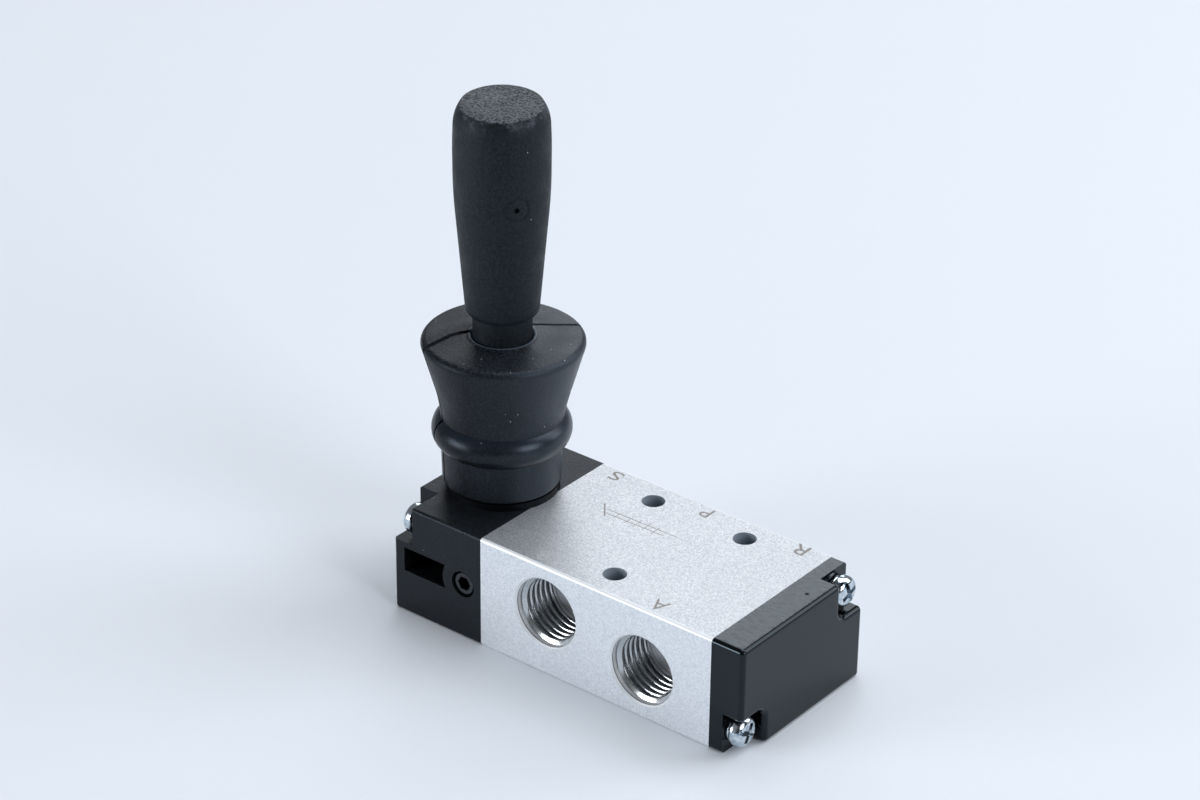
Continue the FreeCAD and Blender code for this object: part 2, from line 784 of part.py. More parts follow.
def make_lever_rod():
    body = new_body("lever_rod")
    sketch = new_sketch(body, "rod_outline", "XZ_Plane", (LEVER, "0", "0"))
    ball_top = "(spool_height + sqrt(tip_radius * tip_radius - finger_radius * finger_radius))"
    hub_low = "(pivot_height - hub_height / 2)"
    hub_high = "(pivot_height + hub_height / 2)"
    slope = "(hub_radius - rod_radius)"
    outline(
        sketch,
        [
            ("0", "spool_height - tip_radius"),
            ("finger_radius", ball_top),
            ("finger_radius", "finger_top"),
            ("rod_radius", "finger_top + rod_radius - finger_radius"),
            ("rod_radius", f"{hub_low} - {slope}"),
            ("hub_radius", hub_low),
            ("hub_radius", hub_high),
            ("rod_radius", f"{hub_high} + {slope}"),
            ("rod_radius", "rod_top - body_edge"),
            ("rod_radius - body_edge", "rod_top"),
            ("0", "rod_top"),
        ],
        {0: ("tip_radius", 1)},
    )
    revolve(body, "Revolution", "rod", sketch, "V_Axis")
    pivot = new_sketch(body, "rod_pivot_circle", "XZ_Plane")
    circle(pivot, LEVER, "pivot_height", "pin_radius + pin_play")
    extrude(body, "Pocket", "rod_pivot_hole", pivot, None)
    return body


def make_lever_grip():
    body = new_body("lever_grip")
    sketch = new_sketch(body, "grip_outline", "XZ_Plane", (LEVER, "0", "0"))
    outline(
        sketch,
        [
            ("rod_radius + grip_play", "neck_bottom"),
            ("neck_radius", "neck_bottom"),
            ("neck_radius", "grip_bottom"),
            ("grip_bottom_radius - grip_bottom_edge", "grip_bottom"),
            ("grip_bottom_radius", "grip_bottom + grip_bottom_edge"),
            ("grip_swell_radius", "grip_swell_start"),
            ("grip_radius", "grip_belly"),
            ("grip_shoulder_radius", "grip_shoulder"),
            ("grip_top_radius", "grip_top"),
            ("0", "grip_top"),
            ("0", "rod_top + grip_play"),
            ("rod_radius + grip_play", "rod_top + grip_play"),
        ],
        {
            3: ("grip_bottom_edge", 1),
            5: ("swell_arc", 1),
            6: ("belly_arc", 1),
            7: ("shoulder_arc", 1),
        },
    )
    revolve(body, "Revolution", "grip", sketch, "V_Axis")
    return body


def make_dust_boot():
    body = new_body("dust_boot")
    sketch = new_sketch(body, "boot_outline", "XZ_Plane", (LEVER, "0", "0"))
    sleeve = "(tower_radius + boot_play)"
    bead = "(bead_radius + boot_play)"
    bead_low = f"({TOWER_TOP} - bead_slope - bead_width - boot_play)"
    bead_top = f"({TOWER_TOP} - bead_slope + boot_play)"
    outline(
        sketch,
        [
            (sleeve, "boot_bottom"),
            ("boot_radius - boot_hem", "boot_bottom"),
            ("boot_radius", "boot_bottom + boot_hem"),
            ("ring_bottom_radius", "ring_bottom"),
            ("ring_top_radius", "ring_top"),
            ("cone_radius", "cone_bend"),
            ("boot_rim_radius", "boot_rim"),
            ("boot_shoulder", "boot_top"),
            ("neck_radius + boot_play", "boot_top + boot_crown"),
            ("neck_radius + boot_play", "boot_top - boot_wall"),
            ("boot_shoulder - boot_wall", "boot_top - boot_wall"),
            ("ring_top_radius - boot_wall", f"{TOWER_TOP} + boot_wall"),
            (bead, bead_top),
            (bead, f"{bead_low} + bead_slope"),
            (sleeve, bead_low),
        ],
        {
            1: ("boot_hem", 1),
            3: ("ring_bulge", 1),
            4: ("cone_arc", -1),
            6: ("boot_shoulder_arc", 1),
        },
    )
    revolve(body, "Revolution", "boot", sketch, "V_Axis")
    return body


def make_all():
    """Each node's name with the object that holds its solids."""
    section = "seal_section / 2"
    on_land = "bore_radius - seal_play - seal_section / 2"
    on_rod = "spool_radius + seal_play + seal_section / 2"
    bodies = [make_valve_body(), make_lever_housing(), make_end_cap(), make_spool()]
    bodies += [
        seal_ring(f"spool_seal_{number}", place, on_land, section)
        for number, place in enumerate(LANDS, start=1)
    ]
    for side, way, end in (("left", -1, LEFT), ("right", 1, RIGHT)):
        middle = f"{end} - {way} * bush_length / 2"
        flush = f"{end} - {way} * gasket_section / 2"
        bodies.append(make_guide_bush(f"guide_bush_{side}", way))
        bodies.append(seal_ring(f"shaft_seal_{side}", middle, on_rod, section))
        bodies.append(seal_ring(f"face_seal_{side}", flush, "gasket_radius", "gasket_section / 2"))
    reach = "housing_length - seat_notch + screw_reach"
    bodies += [
        make_screws("housing_screws", HOUSING_SEAT, -1, reach),
        make_washers("housing_washers", HOUSING_SEAT, -1),
        make_screws("cap_screws", CAP_SEAT, 1, "cap_seat + screw_reach"),
        make_washers("cap_washers", CAP_SEAT, 1),
        make_detent_screw(),
        make_detent_spring(),
        make_detent_ball(),
        make_pivot_pin(),
        make_lever_rod(),
        make_lever_grip(),
        make_dust_boot(),
    ]
    return bodies


def faults(bodies):
    """A sentence for each object that failed, and each cut or ring that did nothing."""
    found = []
    for item in doc.Objects:
        if {"Invalid", "Error"} & set(item.State):
            found.append(f"{item.Name}: {item.State}")
        if item.TypeId in ("PartDesign::Pocket", "PartDesign::Groove"):
            if item.Shape.Volume > item.BaseFeature.Shape.Volume - 1e-3:
                found.append(f"{item.Name}: cuts nothing")
    for body in bodies:
        if body.Shape.isNull() or not body.Shape.isValid() or not body.Shape.Solids:
            found.append(f"{body.Label}: bad shape")
    return found


bodies = make_all()
doc.recompute()
problems = faults(bodies)
if problems:
    raise SystemExit("\n".join(problems))
os.makedirs("parts", exist_ok=True)
for body in bodies:
    body.Shape.exportStep(f"parts/{body.Label}.step")
    solids = len(body.Shape.Solids)
    print(f"{body.Label}: {solids} solid(s), {body.Shape.Volume:.1f} mm3")
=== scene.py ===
import math

import bmesh
import bpy
from mathutils import Matrix, Vector


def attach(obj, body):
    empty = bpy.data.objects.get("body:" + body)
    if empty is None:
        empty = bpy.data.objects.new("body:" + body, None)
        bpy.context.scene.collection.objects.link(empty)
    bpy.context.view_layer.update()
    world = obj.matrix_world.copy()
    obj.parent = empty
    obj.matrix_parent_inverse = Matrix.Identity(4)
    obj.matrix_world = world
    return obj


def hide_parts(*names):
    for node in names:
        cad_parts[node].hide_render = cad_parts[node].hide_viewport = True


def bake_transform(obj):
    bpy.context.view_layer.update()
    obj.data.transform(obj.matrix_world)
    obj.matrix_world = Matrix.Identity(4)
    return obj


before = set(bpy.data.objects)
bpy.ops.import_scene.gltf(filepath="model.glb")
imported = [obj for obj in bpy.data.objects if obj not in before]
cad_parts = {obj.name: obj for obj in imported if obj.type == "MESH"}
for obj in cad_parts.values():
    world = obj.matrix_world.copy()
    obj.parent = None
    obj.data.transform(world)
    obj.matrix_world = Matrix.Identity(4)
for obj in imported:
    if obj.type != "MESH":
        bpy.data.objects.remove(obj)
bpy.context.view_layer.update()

# Hand lever air valve: finishes, port threads, markings, screws, grip and rubber boot on the
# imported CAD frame. Sizes below are millimetres in the frame's axes; MM turns them to metres.

MM = 0.001
LEVER_X = -34.95
BLOCK_TOP = 22.0
# half of the block's length, width and height
HALF_LONG, HALF_WIDE, HALF_TALL = 25.4, 17.5, 11.0
# how far a point may lie from a plane and still count as on it
HAIR = 0.03
# the grip's end before it was ground
GRIP_END = 96.45
# the gate mark on the grip's near side
GATE = Vector((-27.95, -4.46, 80.05))
# how the grip's ground end falls towards its near right side, in height over way
GROUND_SLOPE = Vector((0.030, -0.036))


def linear(code):
    """A colour picked as sRGB hex, as the linear values that a shader takes."""
    parts = [int(code[n:n + 2], 16) / 255 for n in (1, 3, 5)]
    return tuple(c / 12.92 if c <= 0.04045 else ((c + 0.055) / 1.055) ** 2.4 for c in parts) + (1.0,)


def put(tree, kind, settings=None, feeds=None):
    """Adds one node, with its settings and what feeds its sockets: values or other nodes' outputs."""
    added = tree.nodes.new(kind)
    for name, value in (settings or {}).items():
        setattr(added, name, value)
    for socket, feed in (feeds or {}).items():
        if isinstance(feed, bpy.types.NodeSocket):
            tree.links.new(feed, added.inputs[socket])
        else:
            added.inputs[socket].default_value = feed
    return added


def new_finish(name, **sockets):
    """A material with its shader's own sockets set, and its Object coordinates in millimetres."""
    made = bpy.data.materials.new(name)
    made.use_nodes = True
    tree = made.node_tree
    surface = tree.nodes["Principled BSDF"]
    for socket, value in sockets.items():
        surface.inputs[socket.replace("_", " ")].default_value = value
    place = put(tree, "ShaderNodeTexCoord").outputs["Object"]
    scaled = put(tree, "ShaderNodeVectorMath", {"operation": "SCALE"}, {0: place, "Scale": 1000.0})
    return made, tree, surface, scaled.outputs[0]


def relief(tree, surface, height, strength, depth):
    """Gives the surface a relief; depth is in millimetres."""
    bump = put(tree, "ShaderNodeBump", {}, {"Strength": strength, "Distance": depth * MM, "Height": height})
    tree.links.new(bump.outputs[0], surface.inputs["Normal"])


def blended(tree, share, plain, other):
    """Two colours or two values mixed by a share from 0 to 1."""
    kind = "RGBA" if isinstance(plain, tuple) or getattr(plain, "type", "") == "RGBA" else "FLOAT"
    first, second = (6, 7) if kind == "RGBA" else (2, 3)
    mix = put(tree, "ShaderNodeMix", {"data_type": kind}, {0: share, first: plain, second: other})
    return mix.outputs[2 if kind == "RGBA" else 0]


def spread(tree, value, low, high):
    """A value stretched so that low gives 0 and high gives 1, as a noise needs for contrast."""
    return put(tree, "ShaderNodeMapRange", {}, {0: value, 1: low, 2: high}).outputs[0]


def near_to(tree, place, centre, radius, flat=False):
    """1 within radius of a point, 0 outside it; flat leaves the height out of account."""
    if flat:
        level = put(tree, "ShaderNodeVectorMath", {"operation": "MULTIPLY"}, {0: place, 1: (1, 1, 0)})
        place = level.outputs[0]
    off = put(tree, "ShaderNodeVectorMath", {"operation": "DISTANCE"}, {0: place, 1: centre})
    near = put(tree, "ShaderNodeMath", {"operation": "LESS_THAN"}, {0: off.outputs["Value"], 1: radius})
    return near.outputs[0]


def dust_and_glint_specks(tree, place, spacing, size, share):
    """Lone pale specks, as real dust on the boot and grip and as painted glints on the housing: 1 on a speck
    and 0 beside it. spacing and size are millimetres.
    """
    cells = put(tree, "ShaderNodeTexVoronoi", {}, {"Vector": place, "Scale": 1 / spacing})
    off = cells.outputs["Distance"]
    near = put(tree, "ShaderNodeMath", {"operation": "LESS_THAN"}, {0: off, 1: size / spacing})
    picked = put(tree, "ShaderNodeSeparateColor", {}, {0: cells.outputs["Color"]})
    few = put(tree, "ShaderNodeMath", {"operation": "LESS_THAN"}, {0: picked.outputs[0], 1: share})
    both = put(tree, "ShaderNodeMath", {"operation": "MULTIPLY"}, {0: near.outputs[0], 1: few.outputs[0]})
    return both.outputs[0]


def blasted_aluminium():
    """Extruded aluminium, sand-blasted and clear anodised: a pale satin with a sparkle of fine
    grit. Inside its holes the cutter left it bright, with fine rings round each port. Its upper
    edges and port mouths carry painted highlights, and its foot and chamfers painted shade."""
    made, tree, surface, place = new_finish("blasted_anodised_aluminium")
    # blasting grit of about 0.16 mm, drawn at 0.28 mm to show at this distance
    grit = put(tree, "ShaderNodeTexNoise", {}, {
        "Vector": place, "Scale": 1 / 0.28, "Detail": 2.0, "Roughness": 0.6,
    })
    grit = spread(tree, grit.outputs[0], 0.3, 0.7)
    cloud = put(tree, "ShaderNodeTexNoise", {}, {"Vector": place, "Scale": 1 / 9.0, "Detail": 2.0})
    parts = put(tree, "ShaderNodeSeparateXYZ", {}, {0: place})
    # how far a point lies outside the block's faces along each axis, negative inside
    reach = []
    for axis, middle, half in (("X", 0.0, HALF_LONG), ("Y", 0.0, HALF_WIDE), ("Z", HALF_TALL, HALF_TALL)):
        off = put(tree, "ShaderNodeMath", {"operation": "SUBTRACT"}, {0: parts.outputs[axis], 1: middle})
        size = put(tree, "ShaderNodeMath", {"operation": "ABSOLUTE"}, {0: off.outputs[0]})
        past = put(tree, "ShaderNodeMath", {"operation": "SUBTRACT"}, {0: size.outputs[0], 1: half})
        reach.append(past.outputs[0])
    outer = put(tree, "ShaderNodeMath", {"operation": "MAXIMUM"}, {0: reach[0], 1: reach[1]}).outputs[0]
    outer = put(tree, "ShaderNodeMath", {"operation": "MAXIMUM"}, {0: outer, 1: reach[2]}).outputs[0]
    # the long upper edges, rounded to 0.6 mm, are painted whiter and less metallic than the faces: a painted
    # highlight along their rounding
    height = parts.outputs["Z"]
    below = put(tree, "ShaderNodeMath", {"operation": "SUBTRACT"}, {0: height, 1: BLOCK_TOP}).outputs[0]
    nearest = put(tree, "ShaderNodeMath", {"operation": "MINIMUM"}, {0: reach[1], 1: below}).outputs[0]
    edge_highlight = put(tree, "ShaderNodeMath", {"operation": "GREATER_THAN"}, {0: nearest, 1: -0.56}).outputs[0]
    inside = put(tree, "ShaderNodeMath", {"operation": "LESS_THAN"}, {0: outer, 1: -0.04}).outputs[0]
    bored = put(tree, "ShaderNodeMath", {"operation": "GREATER_THAN"}, {0: inside, 1: edge_highlight}).outputs[0]
    # the plain mouth of each port, before its thread starts, is less of a mirror, and its tint is brighter as
    # a painted highlight of the front light it catches
    mouth = put(tree, "ShaderNodeMath", {"operation": "GREATER_THAN"}, {0: reach[1], 1: -1.2}).outputs[0]
    # feed rings of the drill, 0.2 mm apart along the port
    rings = put(tree, "ShaderNodeTexWave", {"bands_direction": "Y"}, {
        "Vector": place, "Scale": 1.5, "Distortion": 0.4,
    })
    # the mounting holes are drilled and anodised: dull and grey, with no rings
    drilled = None
    for centre in ((-10.15, 12.2, 0), (10.15, 12.2, 0), (0, -11.6, 0)):
        hole = near_to(tree, place, centre, 2.6, flat=True)
        feeds = {0: hole, 1: drilled if drilled else 0.0}
        drilled = put(tree, "ShaderNodeMath", {"operation": "MAXIMUM"}, feeds).outputs[0]
    # the top was blasted harder than the drawn sides, so its grain is coarser to the eye
    top = put(tree, "ShaderNodeMath", {"operation": "GREATER_THAN"}, {0: below, 1: -0.04}).outputs[0]
    drawn = blended(tree, grit, linear("#D2D7DC"), linear("#F0F3F6"))
    tint = blended(tree, top, drawn, blended(tree, grit, linear("#B3B8BE"), linear("#E6E9EC")))
    # painted highlight: a near-white tint along the rounded upper edges
    tint = blended(tree, edge_highlight, tint, linear("#F4F7FA"))
    # painted shade: the foot's rounded edge is tinted grey, standing in for the floor's contact shadow along
    # it
    foot_shade = put(tree, "ShaderNodeMath", {"operation": "LESS_THAN"}, {0: height, 1: 0.3}).outputs[0]
    tint = blended(tree, foot_shade, tint, linear("#6B727A"))
    # painted highlight: the mouth's tint is near white, the bore's a darker grey
    inner = blended(tree, mouth, linear("#C6C8CA"), linear("#F6F8FA"))
    # painted shade: a dark line where the mouth's chamfer meets the bore
    line = put(tree, "ShaderNodeMath", {"operation": "COMPARE"}, {0: reach[1], 1: -0.42, 2: 0.09}).outputs[0]
    inner = blended(tree, line, inner, linear("#4C5157"))
    inner = blended(tree, drilled, inner, linear("#96A1AC"))
    tree.links.new(blended(tree, bored, tint, inner), surface.inputs["Base Color"])
    satin = blended(tree, cloud.outputs[0], 0.42, 0.5)
    bright = blended(tree, drilled, blended(tree, mouth, 0.3, 0.38), 0.6)
    tree.links.new(blended(tree, bored, satin, bright), surface.inputs["Roughness"])
    metal = blended(tree, drilled, blended(tree, mouth, 1.0, 0.25), 0.2)
    metal = blended(tree, bored, blended(tree, edge_highlight, 0.75, 0.3), metal)
    tree.links.new(metal, surface.inputs["Metallic"])
    rings = blended(tree, drilled, rings.outputs["Fac"], 0.5)
    relief(tree, surface, blended(tree, bored, grit, rings), blended(tree, top, 0.35, 0.75), 0.03)
    return made


def machined_aluminium():
    """Freshly tapped aluminium: a bright, tight sheen that follows the thread's flanks."""
    made, tree, surface, place = new_finish("tapped_aluminium", Metallic=1.0)
    chatter = put(tree, "ShaderNodeTexNoise", {}, {"Vector": place, "Scale": 1 / 0.5, "Detail": 2.0})
    chatter = chatter.outputs[0]
    tree.links.new(blended(tree, chatter, linear("#AEB2B5"), linear("#D2D5D7")), surface.inputs["Base Color"])
    tree.links.new(blended(tree, chatter, 0.17, 0.22), surface.inputs["Roughness"])
    relief(tree, surface, chatter, 0.02, 0.02)
    return made


def laser_mark():
    """Laser-burnt aluminium oxide: a flat brownish grey that breaks up on the blasted grit."""
    made, tree, surface, place = new_finish("laser_burnt_oxide", Roughness=0.6, Metallic=0.3)
    grit = put(tree, "ShaderNodeTexNoise", {}, {"Vector": place, "Scale": 1 / 0.25, "Detail": 2.0})
    tint = blended(tree, grit.outputs[0], linear("#77726E"), linear("#A6A29E"))
    # the mark by port B was burnt more faintly than the rest
    tint = blended(tree, near_to(tree, place, (-13.4, -14.6, BLOCK_TOP), 3.0), tint, linear("#BFC2C5"))
    tree.links.new(tint, surface.inputs["Base Color"])
    return made


def glass_filled_nylon():
    """Glass-filled nylon, moulded against spark-eroded steel: a dry black, satin on its sides,
    peppered with painted glints, and painted lighter on its top where the light grazes the grain."""
    made, tree, surface, place = new_finish("glass_filled_nylon", IOR=1.5, Specular_Tint=linear("#DDEEFF"))
    # eroded grain of about 0.2 mm, drawn at 0.35 mm
    grain = put(tree, "ShaderNodeTexNoise", {}, {
        "Vector": place, "Scale": 1 / 0.35, "Detail": 2.0, "Roughness": 0.6,
    })
    grain = spread(tree, grain.outputs[0], 0.32, 0.68)
    cloud = put(tree, "ShaderNodeTexNoise", {}, {"Vector": place, "Scale": 1 / 5.0, "Detail": 2.0})
    height = put(tree, "ShaderNodeSeparateXYZ", {}, {0: place}).outputs["Z"]
    # the collar and the tower above the block's top are smoother and lie in the boot's shade
    feeds = {0: height, 1: BLOCK_TOP + HAIR}
    shaded = put(tree, "ShaderNodeMath", {"operation": "GREATER_THAN"}, feeds).outputs[0]
    # painted glints: pale specks across the housing stand in for light glinting off its grain
    specks = dust_and_glint_specks(tree, place, 2.6, 0.12, 0.25)
    feeds = {0: height, 1: BLOCK_TOP - HAIR}
    top = put(tree, "ShaderNodeMath", {"operation": "GREATER_THAN"}, feeds).outputs[0]
    # painted light: the top's tint is lighter than the sides', for the light it catches where it grazes the
    # grain
    light = blended(tree, top, linear("#14171B"), linear("#24282D"))
    tint = blended(tree, grain, blended(tree, top, linear("#040506"), linear("#08090B")), light)
    tint = blended(tree, specks, tint, linear("#8E949A"))
    tree.links.new(blended(tree, shaded, tint, linear("#08090B")), surface.inputs["Base Color"])
    tree.links.new(blended(tree, shaded, 0.26, 0.1), surface.inputs["Specular IOR Level"])
    tree.links.new(blended(tree, cloud.outputs[0], 0.34, 0.46), surface.inputs["Roughness"])
    relief(tree, surface, grain, 0.8, 0.035)
    return made


def glossy_nylon():
    """Unfilled nylon from a polished mould: deep black with sharp edge lights. Its top, by the
    gate, has flow streaks and scuffs under a painted sheen, and one small pit painted black."""
    made, tree, surface, place = new_finish("glossy_moulded_nylon", IOR=1.43, Specular_Tint=linear("#CCE6F4"))
    feeds = {0: put(tree, "ShaderNodeSeparateXYZ", {}, {0: place}).outputs["Z"], 1: BLOCK_TOP - HAIR}
    top = put(tree, "ShaderNodeMath", {"operation": "GREATER_THAN"}, feeds).outputs[0]
    long_way = put(tree, "ShaderNodeMapping", {}, {"Vector": place, "Scale": (0.6, 1.3, 1.0)})
    flow = put(tree, "ShaderNodeTexNoise", {}, {
        "Vector": long_way.outputs[0], "Scale": 1 / 0.9, "Detail": 5.0, "Roughness": 0.68,
    })
    flow = spread(tree, flow.outputs[0], 0.32, 0.62)
    grain = put(tree, "ShaderNodeTexNoise", {}, {"Vector": place, "Scale": 1 / 0.4, "Detail": 3.0})
    # painted shade: the small pit has no depth of its own and is painted black, with no shine
    pit = near_to(tree, place, (29.3, 4.3, BLOCK_TOP), 0.34)
    # painted sheen: the top's flow streaks are tinted far lighter than the black sides, for the light the top
    # reflects
    streaks_and_sheen = blended(tree, flow, linear("#33363A"), linear("#575B5F"))
    tint = blended(tree, top, linear("#050608"), streaks_and_sheen)
    tree.links.new(blended(tree, pit, tint, linear("#010101")), surface.inputs["Base Color"])
    tree.links.new(blended(tree, pit, 0.5, 0.0), surface.inputs["Specular IOR Level"])
    tree.links.new(blended(tree, top, 0.07, blended(tree, flow, 0.2, 0.34)), surface.inputs["Roughness"])
    relief(tree, surface, blended(tree, top, grain.outputs[0], flow), 0.1, 0.03)
    return made


def boot_rubber():
    """Moulded nitrile rubber: charcoal black with a dull bloom, a fine matt skin and white dust,
    with painted light on one side, a painted sheen on its ring and a painted highlight on its lip.
    """
    made, tree, surface, place = new_finish("nitrile_rubber", IOR=1.5, Specular_Tint=linear("#D6E6FA"))
    skin = put(tree, "ShaderNodeTexNoise", {}, {
        "Vector": place, "Scale": 1 / 0.38, "Detail": 2.0, "Roughness": 0.6,
    })
    skin = spread(tree, skin.outputs[0], 0.44, 0.68)
    bloom = put(tree, "ShaderNodeTexNoise", {}, {"Vector": place, "Scale": 1 / 6.0, "Detail": 3.0})
    bloom = spread(tree, bloom.outputs[0], 0.35, 0.65)
    specks = dust_and_glint_specks(tree, place, 1.4, 0.1, 0.25)
    # painted light: the side towards the far right end is tinted lighter and made more specular, and the
    # other side darker and duller, for the light that falls on each
    parts = put(tree, "ShaderNodeSeparateXYZ", {}, {0: place})
    aside = put(tree, "ShaderNodeVectorMath", {"operation": "DOT_PRODUCT"}, {0: place, 1: (0.8, 0.6, 0)})
    axis_there = 0.8 * LEVER_X
    flank = spread(tree, aside.outputs["Value"], axis_there - 6, axis_there + 12)
    side_lit_tint = blended(tree, flank, linear("#030405"), linear("#1B2025"))
    tint = blended(tree, bloom, side_lit_tint, blended(tree, flank, linear("#08090B"), linear("#252B31")))
    tree.links.new(blended(tree, flank, 0.2, 0.5), surface.inputs["Specular IOR Level"])
    # the skin's grain is lighter and shows most on the upward faces
    up = put(tree, "ShaderNodeSeparateXYZ", {}, {0: put(tree, "ShaderNodeNewGeometry").outputs["Normal"]})
    upward_skin = put(tree, "ShaderNodeMapRange", {}, {0: up.outputs["Z"], 1: 0.4, 2: 0.95, 3: 0.3, 4: 1.0})
    skin_share = put(tree, "ShaderNodeMath", {"operation": "MULTIPLY"}, {0: skin, 1: upward_skin.outputs[0]})
    tint = blended(tree, skin_share.outputs[0], tint, linear("#33383E"))
    # the ring is a little polished by handling, between 31 and 37 mm up
    height = put(tree, "ShaderNodeMath", {"operation": "SUBTRACT"}, {0: parts.outputs["Z"], 1: 34.2})
    from_ring = put(tree, "ShaderNodeMath", {"operation": "ABSOLUTE"}, {0: height.outputs[0]})
    matt = spread(tree, from_ring.outputs[0], 2.4, 3.6)
    # painted sheen: its upper half is tinted a brighter blue, and the thin lip round the neck is painted
    # lighter as a highlight
    upward = spread(tree, up.outputs["Z"], 0.3, 0.9)
    rule = {"operation": "SUBTRACT", "use_clamp": True}
    painted_ring_sheen = put(tree, "ShaderNodeMath", rule, {0: upward, 1: matt}).outputs[0]
    tint = blended(tree, painted_ring_sheen, tint, linear("#1F2630"))
    painted_lip_highlight = near_to(tree, place, (LEVER_X, 0, 0), 6.1, flat=True)
    tint = blended(tree, painted_lip_highlight, tint, linear("#4A535F"))
    tree.links.new(blended(tree, specks, tint, linear("#A9AEB3")), surface.inputs["Base Color"])
    tree.links.new(blended(tree, matt, 0.31, blended(tree, bloom, 0.38, 0.5)), surface.inputs["Roughness"])
    relief(tree, surface, skin, blended(tree, matt, 0.15, 0.6), 0.025)
    return made


def grip_plastic():
    """Hard moulded grip: black with a mottled satin skin, and a sandy grey end where the sprue
    was ground off."""
    made, tree, surface, place = new_finish("moulded_grip_plastic", IOR=1.5, Specular_Tint=linear("#DDEEFF"))
    # the end is ground a little out of square, so its height is measured along its own normal
    normal = (GROUND_SLOPE.x, GROUND_SLOPE.y, 1.0)
    tilted = put(tree, "ShaderNodeVectorMath", {"operation": "DOT_PRODUCT"}, {0: place, 1: normal})
    feeds = {0: tilted.outputs["Value"], 1: GRIP_END - 0.15 + GROUND_SLOPE.x * LEVER_X}
    end = put(tree, "ShaderNodeMath", {"operation": "GREATER_THAN"}, feeds).outputs[0]
    skin = put(tree, "ShaderNodeTexNoise", {}, {
        "Vector": place, "Scale": 1 / 0.5, "Detail": 3.0, "Roughness": 0.65,
    })
    skin = spread(tree, skin.outputs[0], 0.34, 0.66)
    mottle = put(tree, "ShaderNodeTexNoise", {}, {
        "Vector": place, "Scale": 1 / 3.5, "Detail": 4.0, "Roughness": 0.6,
    })
    mottle = spread(tree, mottle.outputs[0], 0.35, 0.65)
    # the ground end's grain is about 0.3 mm, drawn at 0.45 mm to show
    sand = put(tree, "ShaderNodeTexNoise", {}, {
        "Vector": place, "Scale": 1 / 0.45, "Detail": 3.0, "Roughness": 0.7,
    })
    sand = spread(tree, sand.outputs[0], 0.38, 0.6)
    ground = blended(tree, sand, linear("#08090B"), linear("#64686D"))
    # lighter blotches on the shoulder, broken up by the sandy grain
    height = put(tree, "ShaderNodeSeparateXYZ", {}, {0: place}).outputs["Z"]
    shoulder = spread(tree, height, 94.2, 95.4)
    shoulder_blotches = put(tree, "ShaderNodeTexNoise", {}, {"Vector": place, "Scale": 1 / 3.0, "Detail": 3.0})
    shoulder_blotches = spread(tree, shoulder_blotches.outputs[0], 0.48, 0.58)
    for share in (shoulder, sand):
        shoulder_blotches = put(tree, "ShaderNodeMath", {"operation": "MULTIPLY"}, {0: shoulder_blotches, 1: share}).outputs[0]
    # painted shade: the gate's pit and the groove around it are painted darker and less shiny
    pit = near_to(tree, place, GATE, 0.5)
    groove = put(tree, "ShaderNodeMath", {"operation": "GREATER_THAN"}, {
        0: near_to(tree, place, GATE, 2.35), 1: near_to(tree, place, GATE, 1.95),
    }).outputs[0]
    feeds = {0: groove, 1: 0.12, 2: pit}
    gate_shade = put(tree, "ShaderNodeMath", {"operation": "MULTIPLY_ADD"}, feeds).outputs[0]
    specks = dust_and_glint_specks(tree, place, 3.0, 0.13, 0.15)
    tint = blended(tree, mottle, linear("#06080A"), linear("#12161A"))
    # the skin's own fine grain is bleached where it stands out
    tint = blended(tree, skin, tint, linear("#1E2226"))
    tint = blended(tree, gate_shade, tint, linear("#020203"))
    tint = blended(tree, shoulder_blotches, tint, linear("#454A51"))
    tint = blended(tree, specks, tint, linear("#8E9398"))
    tree.links.new(blended(tree, end, tint, ground), surface.inputs["Base Color"])
    tree.links.new(blended(tree, mottle, 0.46, 0.62), surface.inputs["Roughness"])
    tree.links.new(blended(tree, gate_shade, 0.22, 0.05), surface.inputs["Specular IOR Level"])
    relief(tree, surface, blended(tree, end, skin, sand), 0.5, 0.04)
    return made


def bright_zinc():
    """Zinc-plated steel, blue passivated: a bright mirror, slightly uneven, with a cold tint."""
    made, tree, surface, place = new_finish("blue_passivated_zinc", Metallic=1.0)
    # the plating's unevenness is about 0.8 mm across
    uneven = put(tree, "ShaderNodeTexNoise", {}, {"Vector": place, "Scale": 1 / 0.8, "Detail": 2.0})
    uneven = spread(tree, uneven.outputs[0], 0.3, 0.7)
    tree.links.new(blended(tree, uneven, linear("#A2B2BF"), linear("#E3EAEE")), surface.inputs["Base Color"])
    tree.links.new(blended(tree, uneven, 0.08, 0.24), surface.inputs["Roughness"])
    relief(tree, surface, uneven, 0.3, 0.04)
    return made


def metal_finish(name, dark, light, smooth, rough, grain, depth):
    """A machined metal: two tints and two roughnesses mixed by the grain that the tool left."""
    made, tree, surface, place = new_finish(name, Metallic=1.0)
    marks = put(tree, "ShaderNodeTexNoise", {}, {"Vector": place, "Scale": 1 / grain, "Detail": 3.0})
    marks = marks.outputs[0]
    tree.links.new(blended(tree, marks, linear(dark), linear(light)), surface.inputs["Base Color"])
    tree.links.new(blended(tree, marks, smooth, rough), surface.inputs["Roughness"])
    relief(tree, surface, marks, 0.2, depth)
    return made


def soft_finish(name, dark, light, smooth, rough, grain):
    """A moulded or turned plastic or rubber: two tints and two roughnesses mixed by its grain."""
    made, tree, surface, place = new_finish(name, IOR=1.5)
    marks = put(tree, "ShaderNodeTexNoise", {}, {"Vector": place, "Scale": 1 / grain, "Detail": 3.0})
    marks = marks.outputs[0]
    tree.links.new(blended(tree, marks, linear(dark), linear(light)), surface.inputs["Base Color"])
    tree.links.new(blended(tree, marks, smooth, rough), surface.inputs["Roughness"])
    relief(tree, surface, marks, 0.2, 0.02)
    return made


